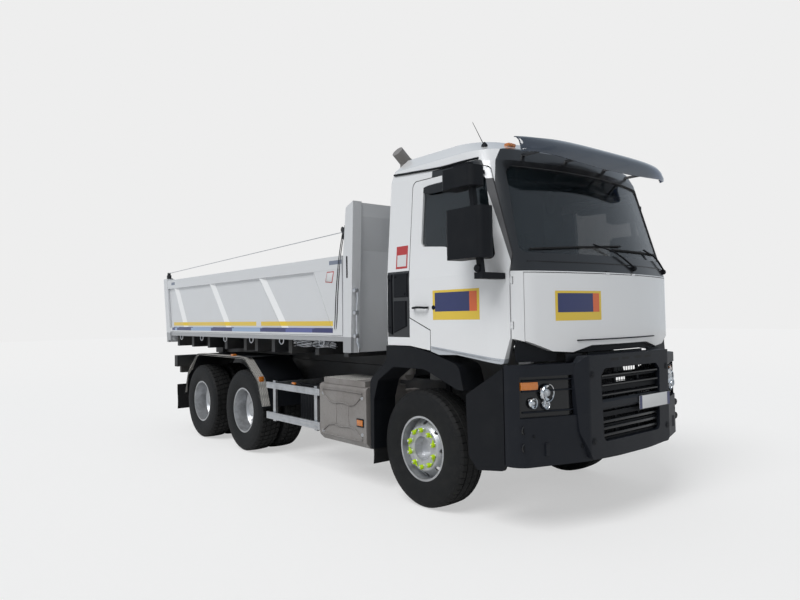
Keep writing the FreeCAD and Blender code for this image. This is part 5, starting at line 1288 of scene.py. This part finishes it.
def side_sign(name, look, out, thick, edge, places):
    """One sheet of the small slanted sign on the right side wall."""
    seat = Skin("side_board_right").flank(-1, -1.385, 2.19)[0]
    form = Form()
    form.slab([seat + Vector((x, -out, z)) for x, z in places], (0, -thick, 0), edge)
    form.done(name, look, "side_wall_right", "bed_white", 0)


COVER_HEAD, COVER_TAIL = spot(-1.115, -1.215, 2.633), spot(-6.325, -1.205, 2.475)


def cover_pulleys(form):
    form.around(COVER_HEAD, (-0.05, -0.02, -0.05), (0.06, 0.035, 0.045), 0.010)
    for x, z in ((-0.035, 0.055), (0.03, 0.075)):
        form.lathe([(-0.020, 0.030), (-0.012, 0.024), (0.012, 0.024), (0.020, 0.030)],
                   COVER_HEAD + Vector((x, 0, z)), LEFT, 24)
    form.around(COVER_TAIL, (-0.030, -0.03, -0.035), (0.035, 0.03, 0.03), 0.008)
    form.lathe([(-0.018, 0.028), (-0.010, 0.022), (0.010, 0.022), (0.018, 0.028)],
               COVER_TAIL + UP * 0.045, LEFT, 24)


def cover_line(form):
    form.tube([COVER_HEAD + Vector((-0.045, 0, 0.03)), COVER_TAIL + Vector((0.02, 0, 0.06))],
              0.0045, 8, 1.0, 1)


def cover_double_line(form):
    """The two lines that run down from the head pulley in front of the side wall."""
    for shift, sag in ((0.0, 0.10), (0.028, 0.135)):
        line = [COVER_HEAD + Vector(p) for p in (
            (0.01 - shift, -0.033, 0.0), (-0.055 - shift, -0.036, -0.25), (-sag - 0.01, -0.036, -0.62),
            (-sag - 0.035, -0.036, -0.90))]
        form.tube(line + [spot(-1.285 - shift, -1.243, 1.575)], 0.0048, 8, 1.0, 6)


def folded_straps(form):
    """Seven flat layers of uneven length and wave."""
    for n in range(7):
        start, end, z = -2.25 + 0.012 * (n % 3), -1.35 - 0.02 * ((n + 1) % 3), 1.492 - 0.011 * n
        form.tube([spot(start + (end - start) * k / 8, -1.19 - 0.012 * math.sin(k * 1.7 + n),
                        z + 0.006 * math.sin(k * 2.3 + n * 2)) for k in range(9)], 0.0105, 8, 0.45, 3)


def fold_straps(form):
    for x in (-2.15, -1.8, -1.45):
        form.tube([spot(x, y, z) for y, z in (
            (-1.165, 1.499), (-1.220, 1.470), (-1.215, 1.42), (-1.170, 1.408), (-1.162, 1.45))],
            0.007, 8, 0.5, 4)


def tail_bolts(form):
    skin = Skin("tailgate")
    for side in (-1, 1):
        for z in (1.62, 2.0):
            form.lathe([(-0.004, 0.03), (0.004, 0.028), (0.006, 0.018), (0.004, 0.012)],
                       *skin.back(side * 1.1, z), 24)


def tail_seams(form):
    skin = Skin("tailgate")
    section = ((0.004, -0.055), (-0.0045, -0.040), (-0.0045, 0.040), (0.004, 0.055))
    for y in (-0.82, -0.41, 0.0, 0.41, 0.82):
        form.skin([[skin.back(y, z)[0] + Vector((out, wide, 0)) for out, wide in section]
                   for z in (1.50, 1.85, 2.30)])


class TRUCK_OT_bed_fittings(bpy.types.Operator):
    """Add the bed's hooks, latches, labels and blank sign, and the line of the load cover with its pulleys"""
    bl_idname = "truck.bed_fittings"
    bl_label = "Bed fittings"

    def execute(self, context):
        pair(bed_hooks, "bed_hooks", "bright", "bed", "bed_white")
        pair(bed_lip, "bed_lip", "white", "bed", "bed_white")
        # painted shade: black sheets for the front post's slot and holes
        pair(post_opening_shades, "post_opening_shades", "smooth_black", "bed", "bed_white")
        pair(bed_latches, "bed_latches", "bright", "bed", "bed_white")
        pair(rail_labels, "rail_labels", "label_grey", "side_wall_{hand}", "bed_white")
        side_sign("side_sign_rim", "red_label", 0.0005, 0.002, 0.001,
                  ((-0.085, -0.05), (-0.05, 0.062), (0.085, 0.062), (0.05, -0.062)))
        side_sign("side_sign", "plate", 0.0025, 0.001, 0.0005,
                  ((-0.072, -0.042), (-0.044, 0.052), (0.072, 0.052), (0.042, -0.052)))
        single(cover_pulleys, "cover_pulleys", "chassis", "bed", "bed_white")
        single(cover_line, "cover_line", "bright", "bed", "bed_white")
        single(cover_double_line, "cover_double_line", "black", "bed", "bed_white")
        single(folded_straps, "folded_straps", "bright", "bed", "bed_white")
        single(fold_straps, "fold_straps", "black", "bed", "bed_white")
        single(tail_bolts, "tail_bolts", "bright", "tail_wall", "bed_white")
        single(tail_seams, "tail_seams", "bed", "tail_wall", "bed_white")
        return {"FINISHED"}


# Chassis

def mudguard_edge(form, side):
    """The bright strip that follows the rear mudguard's outer edge."""
    guard, rows = Skin("mudguards"), []
    line = curve_through([spot(x, 0, z) for x, z in (
        (-5.83, 0.70), (-5.80, 0.80), (-5.73, 0.90), (-5.60, 1.01), (-5.40, 1.12), (-5.15, 1.205),
        (-4.9, 1.232), (-4.3, 1.236), (-3.7, 1.236), (-3.45, 1.222), (-3.25, 1.15), (-3.12, 1.02),
        (-3.04, 0.90), (-2.98, 0.75), (-2.965, 0.64))], 4)
    for n, p in enumerate(line):
        way = direction_at(line, n)
        up = Vector((-way.z, 0, way.x))
        hit = guard.at(p + up * 0.25 + LEFT * side * 1.20, -up)[0]
        rows.append([Vector((hit.x, side * y, hit.z)) + up * off for y, off in (
            (1.243, -0.018), (1.243, 0.004), (1.13, 0.004), (1.13, 0.0005))])
    form.skin(rows)


def silencer_relief(form):
    """The pressed cross and frame on the box's outside."""
    box = Skin("exhaust")
    for points in (
            ((-1.56, 0.96), (-1.43, 0.86), (-1.31, 0.84)), ((-0.82, 0.96), (-0.95, 0.86), (-1.07, 0.84)),
            ((-1.56, 0.52), (-1.43, 0.60), (-1.31, 0.62)), ((-0.82, 0.52), (-0.95, 0.60), (-1.07, 0.62)),
            ((-1.35, 0.84), (-1.19, 0.855), (-1.03, 0.84)), ((-1.35, 0.62), (-1.19, 0.605), (-1.03, 0.62)),
            ((-1.31, 0.84), (-1.30, 0.73), (-1.31, 0.62)), ((-1.07, 0.84), (-1.08, 0.73), (-1.07, 0.62)),
            ((-1.56, 0.98), (-1.19, 0.985), (-0.82, 0.98)), ((-1.56, 0.50), (-1.19, 0.495), (-0.82, 0.50))):
        form.tube([box.flank(-1, x, z)[0] - LEFT * 0.001 for x, z in points], 0.013, 8, 0.55, 5)


def silencer_bolts(form):
    box = Skin("exhaust")
    for x, z in ((-1.55, 0.93), (-0.83, 0.93), (-1.55, 0.52), (-0.83, 0.56)):
        form.lathe([(0.0, 0.020), (0.004, 0.019), (0.005, 0.012), (0.011, 0.011), (0.012, 0.006)],
                   box.flank(-1, x, z)[0], -LEFT, 18)


def marker_base(form):
    seat = Skin("exhaust").flank(-1, -0.86, 0.68)[0]
    form.around(seat, (-0.06, -0.010, -0.042), (0.06, 0.002, 0.042), 0.006)


def marker_lens(form):
    seat = Skin("exhaust").flank(-1, -0.86, 0.68)[0]
    form.around(seat, (-0.05, -0.0145, -0.030), (0.05, -0.006, 0.030), 0.006)


def silencer_tread(form):
    z = Skin("exhaust").top(-1.2, -1.0, 2)[0].z
    form.block(spot(-1.55, -1.215, z), spot(-0.95, -0.80, z + 0.004), 0.002)


def mudguard_tread(form, side):
    z = Skin("mudguards").top(-3.55, side * 1.0)[0].z
    form.block(spot(-3.75, side - 0.20, z), spot(-3.42, side + 0.20, z + 0.004), 0.002)


def side_markers(form):
    """On each side one marker on the mudguard's top, one on its front and one on the guard rail."""
    guard, rail, y = Skin("mudguards"), Skin("side_guards"), 1.19
    for side in (-1, 1):
        form.around(guard.top(-3.9, side * y)[0], (-0.04, -0.03, -0.002), (0.04, 0.03, 0.03), 0.008)
        front = guard.at(spot(-2.5, side * y, 0.97), -FORWARD)[0]
        form.around(front, (-0.002, -0.035, -0.04), (0.022, 0.035, 0.04), 0.008)
        form.around(rail.top(-2.25, side * 1.20)[0], (-0.038, -0.013, 0.008), (0.038, 0.013, 0.034), 0.006)


def side_marker_feet(form):
    for side in (-1, 1):
        seat = Skin("side_guards").top(-2.25, side * 1.20)[0]
        form.around(seat, (-0.045, -0.016, -0.001), (0.045, 0.016, 0.010), 0.003)


def battery_cover(form, side):
    """A ribbed panel in a frame, behind the guard rails, on two arms from the ladder frame."""
    ribs = 56
    rows = []
    for k in range(ribs + 1):
        x, out = -2.55 + 0.85 * k / ribs, 0.93 + (0.012 if k % 4 in (1, 2) else 0.0)
        rows.append([spot(x, side * y, z) for y, z in ((out, 0.47), (out, 0.93), (0.90, 0.93), (0.90, 0.47))])
    form.skin(rows)
    y = side * 0.915
    for low in (0.455, 0.925):
        form.block(spot(-2.56, y - 0.03, low), spot(-1.69, y + 0.03, low + 0.020), 0.006)
    start, end = sorted((side * 0.42, side * 0.91))
    for x in (-2.4, -1.85):
        form.block(spot(x - 0.03, start, 0.84), spot(x + 0.03, end, 0.90), 0.006)


def guard_grooves(form, side):
    skin = Skin("side_guards")
    for z in (0.902, 0.942, 0.528, 0.568):
        form.tube([skin.flank(side, x, z)[0] + LEFT * side * 0.0008 for x in (-2.87, -2.3, -1.70)],
                  0.0035, 6, 1.0, 1)


def mud_flaps(form, side):
    """A flap behind the rear wheels and one behind the front wheel, both slightly bent."""
    for x, inner, outer, low, high in ((-5.87, 0.76, 1.235, 0.33, 0.72), (-0.665, 0.96, 1.225, 0.30, 0.62)):
        section = ((inner, -0.005), (outer, -0.005), (outer, 0.005), (inner, 0.005))
        form.skin([[spot(x + 0.010 * math.sin(k * 0.7) + d, y * side, low + (high - low) * k / 8)
                    for y, d in section] for k in range(9)])


def step_treads(form):
    """Bars along and across each entry step."""
    for side in (-1, 1):
        for z in (0.601, 0.941):
            for n in range(7):
                y = side * (1.03 + n * 0.024)
                form.block(spot(0.70, y - 0.006, z), spot(1.04, y + 0.006, z + 0.008), 0.002, segments=1)
            for n in range(12):
                x, y = 0.705 + n * 0.0295, side * 1.105
                form.block(spot(x, y - 0.085, z), spot(x + 0.005, y + 0.085, z + 0.006), 0.001, segments=1)


def tank_straps(form):
    tank, (low, high) = Skin("fuel_tank"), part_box("fuel_tank")
    for x in (low.x + 0.22, high.x - 0.22):
        centre = Vector((x, (low.y + high.y) / 2 + 0.2, (low.z + high.z) / 2))
        line = []
        for k in range(15):
            a = math.radians(-100 + 200 * k / 14)
            way = Vector((0, math.cos(a), math.sin(a)))
            line.append(tank.at(centre + way * 1.5, -way)[0] + way * 0.002)
        form.tube(line, 0.022, 8, 0.16, 2)


def tank_cap(form):
    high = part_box("fuel_tank")[1]
    seat = Skin("fuel_tank").at((high.x - 0.40, high.y - 0.20, 3), -UP)[0]
    form.lathe([(-0.004, 0.062), (0.018, 0.062), (0.022, 0.052), (0.040, 0.052), (0.044, 0.042)],
               seat, UP, 36)


REAR_LAMPS = {"amber": 1.165, "red": 1.055, "clear": 0.945}


def rear_lamp(form, y, profile):
    for side in (-1, 1):
        form.lathe(profile, Skin("underrun").back(side * y, 1.09)[0], -FORWARD, 32)


def rear_lamp_frames(form):
    for y in REAR_LAMPS.values():
        rear_lamp(form, y, [(0.0, 0.052), (0.010, 0.051), (0.012, 0.045)])


def stack_clamps(form):
    for z in (1.75, 2.15, 2.55, 2.95):
        form.lathe([(-0.012, 0.064), (-0.008, 0.070), (0.008, 0.070), (0.012, 0.064)],
                   spot(-0.50, -0.88, z), UP, 32)


class TRUCK_OT_chassis_fittings(bpy.types.Operator):
    """Add treads, tread-plate, markers, mud flaps, tank straps, the pressed box cover and the rear lamps"""
    bl_idname = "truck.chassis_fittings"
    bl_label = "Chassis fittings"

    def execute(self, context):
        pair(mudguard_edge, "mudguard_edge", "chequer", "chassis", "plastic_black", 50)
        single(silencer_relief, "silencer_relief", "box", "chassis", "silencer_grey")
        single(silencer_bolts, "silencer_bolts", "bright", "chassis", "silencer_grey")
        single(marker_base, "marker_base", "black", "chassis", "plastic_black")
        single(marker_lens, "marker_lens", "amber", "chassis", "lamp_lens")
        single(silencer_tread, "silencer_tread", "chequer", "chassis", "silencer_grey")
        pair(mudguard_tread, "mudguard_tread", "chequer_black", "chassis", "plastic_black")
        single(side_markers, "side_markers", "amber", "chassis", "lamp_lens")
        single(side_marker_feet, "side_marker_feet", "black", "chassis", "plastic_black")
        pair(battery_cover, "battery_cover", "black", "chassis", "plastic_black")
        pair(guard_grooves, "guard_grooves", "tank", "chassis", "tank_aluminium")
        pair(mud_flaps, "mud_flaps", "rubber_plain", "chassis", "plastic_black")
        single(step_treads, "step_treads", "bright", "chassis", "plastic_black")
        single(tank_straps, "tank_straps", "chassis", "chassis", "steel_black")
        single(tank_cap, "tank_cap", "black", "chassis", "plastic_black")
        single(rear_lamp_frames, "rear_lamp_frames", "black", "chassis", "plastic_black")
        for key in ("red", "amber", "clear"):
            form = Form()
            rear_lamp(form, REAR_LAMPS[key], [(0.006, 0.046), (0.014, 0.042), (0.018, 0.028), (0.019, 0.008)])
            form.done(f"rear_lamps_{key}", key, "chassis", "lamp_lens")
        single(stack_clamps, "stack_clamps", "bright", "chassis", "silencer_grey")
        return {"FINISHED"}


# Cabin

def dash_dials(form):
    for y in (0.50, 0.70):
        seat = Skin("dashboard").at(spot(0.3, y, 2.02), (0.8, 0, -0.3))[0]
        form.lathe([(0.0, 0.062), (0.012, 0.060), (0.010, 0.052), (0.004, 0.050), (0.003, 0.01)], seat,
                   (-0.8, 0, 0.45), 32)


def dash_vents(form):
    for y in (-0.85, -0.35, 0.05, 0.95):
        seat = Skin("dashboard").at(spot(0.2, y, 1.93), FORWARD)[0]
        for n in range(5):
            form.around(seat, (-0.008, -0.075, -0.04 + n * 0.02), (0.004, 0.075, -0.03 + n * 0.02), 0.003)


def dash_trim(form):
    for y in (-0.2, 0.15):
        seat = Skin("dashboard").at(spot(0.2, y, 1.84), FORWARD)[0]
        form.around(seat, (-0.012, -0.09, -0.03), (0.003, 0.09, 0.03), 0.006)


class TRUCK_OT_cabin(bpy.types.Operator):
    """Add the dials, the vents and the trim of the dashboard"""
    bl_idname = "truck.cabin"
    bl_label = "Cabin"

    def execute(self, context):
        single(dash_dials, "dash_dials", "smooth_black", "cab", "plastic_inside")
        single(dash_vents, "dash_vents", "smooth_black", "cab", "plastic_inside")
        single(dash_trim, "dash_trim", "black", "cab", "plastic_inside")
        return {"FINISHED"}


CAB_FLOOR = 1.56
SEAM_Y, SEAM_HALF, SEAM_DEPTH = 0.14, 0.014, 0.006
MOST_SWELL = 0.022
BACK_LEAN = Matrix.Rotation(math.radians(-6), 3, "Y")


def seat_base(y):
    """The bellows foot, the pan and the stays of the back and the head rest."""
    form = Form()
    form.block(spot(-0.05, y - 0.18, CAB_FLOOR), spot(0.30, y + 0.18, CAB_FLOOR + 0.06), 0.02)
    for k in range(5):
        inset, z = 0.006 * k, CAB_FLOOR + 0.06 + 0.045 * k
        form.block(spot(-0.03 + inset, y - 0.165 + inset, z),
                   spot(0.28 - inset, y + 0.165 - inset, z + 0.045), 0.014)
    form.block(spot(-0.06, y - 0.20, CAB_FLOOR + 0.28), spot(0.32, y + 0.20, CAB_FLOOR + 0.325), 0.014)
    form.tube([spot(x, y, CAB_FLOOR + z) for x, z in ((-0.06, 0.31), (-0.13, 0.38), (-0.14, 0.5))],
              0.035, 12, 0.5, 4)
    for side in (-0.06, 0.06):
        form.tube([spot(-0.125, y + side, CAB_FLOOR + 0.88), spot(-0.145, y + side, CAB_FLOOR + 0.97)],
                  0.007, 10, 1.0, 1)
    return form


class TRUCK_OT_seats(bpy.types.Operator):
    """Build the two seats as padded cushions with seams, bolsters and head rests"""
    bl_idname = "truck.seats"
    bl_label = "Seats"

    def puffed(self, name, middle_y, blocks, lean=None):
        """One crowned cushion from rounded blocks on the seat's place, swollen by a short cloth run."""
        form = Form()
        for (x0, y0, z0), (x1, y1, z1), edge in blocks:
            form.block(spot(x0, middle_y + y0, CAB_FLOOR + z0),
                       spot(x1, middle_y + y1, CAB_FLOOR + z1), edge, lean, 4)
        cushion = form.done(name, "fabric", "cab", "seat_fabric", 0)
        mesher = cushion.modifiers.new("mesh", "REMESH")
        mesher.mode, mesher.voxel_size = "VOXEL", 0.010
        start = self.settle(cushion)
        cloth = cushion.modifiers.new("cloth", "CLOTH")
        cloth.settings.use_pressure = True
        cloth.settings.uniform_pressure_force = 4
        cloth.settings.effector_weights.gravity = 0
        for frame_number in range(1, 21):
            bpy.context.scene.frame_set(frame_number)
        self.settle(cushion, start)
        bpy.context.scene.frame_set(1)
        for vertex in cushion.data.vertices:
            for seam_y in (-SEAM_Y, SEAM_Y):
                near = abs(vertex.co.y - middle_y - seam_y)
                if near < SEAM_HALF:
                    vertex.co -= vertex.normal * SEAM_DEPTH * (1 - near / SEAM_HALF)
        cushion.data.shade_smooth()
        return cushion

    def settle(self, piece, start=None):
        """Take the modifiers' result as the mesh; a start caps how far a point may have moved."""
        view = bpy.context.evaluated_depsgraph_get()
        mesh = bpy.data.meshes.new_from_object(piece.evaluated_get(view), depsgraph=view)
        old = piece.data
        piece.modifiers.clear()
        piece.data = mesh
        bpy.data.meshes.remove(old)
        if start and len(start) == len(mesh.vertices):
            for vertex, was in zip(mesh.vertices, start):
                step = vertex.co - was
                if step.length > MOST_SWELL:
                    vertex.co = was + step.normalized() * MOST_SWELL
        if not mesh.materials:
            mesh.materials.append(LOOKS["fabric"])
        return [v.co.copy() for v in mesh.vertices]

    def execute(self, context):
        for n, y in enumerate((-0.6, 0.6)):
            pieces = [
                self.puffed(f"seat_cushion_{n}", y, (
                    ((-0.06, -0.22, 0.33), (0.355, 0.22, 0.40), 0.03),
                    ((-0.04, -0.235, 0.325), (0.33, -0.165, 0.415), 0.03),
                    ((-0.04, 0.165, 0.325), (0.33, 0.235, 0.415), 0.03))),
                self.puffed(f"seat_back_{n}", y, (
                    ((-0.150, -0.21, 0.42), (-0.07, 0.21, 0.90), 0.035),
                    ((-0.145, -0.235, 0.44), (-0.045, -0.165, 0.84), 0.03),
                    ((-0.145, 0.165, 0.44), (-0.045, 0.235, 0.84), 0.03)), BACK_LEAN),
                self.puffed(f"seat_head_{n}", y, (
                    ((-0.185, -0.12, 0.94), (-0.11, 0.12, 1.095), 0.035),), BACK_LEAN),
                seat_base(y).done(f"seat_base_{n}", "black", "cab", "plastic_inside"),
            ]
            for piece in pieces:
                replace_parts(piece, "seats")
        return {"FINISHED"}


OPERATORS = (
    TRUCK_OT_stage, TRUCK_OT_paint, TRUCK_OT_tyres, TRUCK_OT_wheel_fittings, TRUCK_OT_headlamps,
    TRUCK_OT_bumper_fittings, TRUCK_OT_wipers, TRUCK_OT_signs, TRUCK_OT_visor, TRUCK_OT_cab_trim,
    TRUCK_OT_mirrors, TRUCK_OT_bed_fittings, TRUCK_OT_chassis_fittings, TRUCK_OT_cabin, TRUCK_OT_seats,
)


class TRUCK_PT_panel(bpy.types.Panel):
    """The steps that finish the truck, in their order"""
    bl_idname = "TRUCK_PT_panel"
    bl_label = "Dump Truck Finish"
    bl_space_type = "VIEW_3D"
    bl_region_type = "UI"
    bl_category = "Truck"

    def draw(self, context):
        for settings in (context.scene.truck_stage, context.scene.truck_tyres):
            column = self.layout.column(align=True)
            for key in settings.__annotations__:
                column.prop(settings, key)
        for step in OPERATORS:
            self.layout.operator(step.bl_idname)


CLASSES = (StageSettings, TyreSettings, *OPERATORS, TRUCK_PT_panel)


def register():
    for kind in CLASSES:
        bpy.utils.register_class(kind)
    bpy.types.Scene.truck_stage = bpy.props.PointerProperty(type=StageSettings)
    bpy.types.Scene.truck_tyres = bpy.props.PointerProperty(type=TyreSettings)


def unregister():
    del bpy.types.Scene.truck_tyres
    del bpy.types.Scene.truck_stage
    for kind in reversed(CLASSES):
        bpy.utils.unregister_class(kind)


def main():
    register()
    for step in OPERATORS:
        group, name = step.bl_idname.split(".")
        getattr(getattr(bpy.ops, group), name)()


if __name__ == "__main__":
    main()
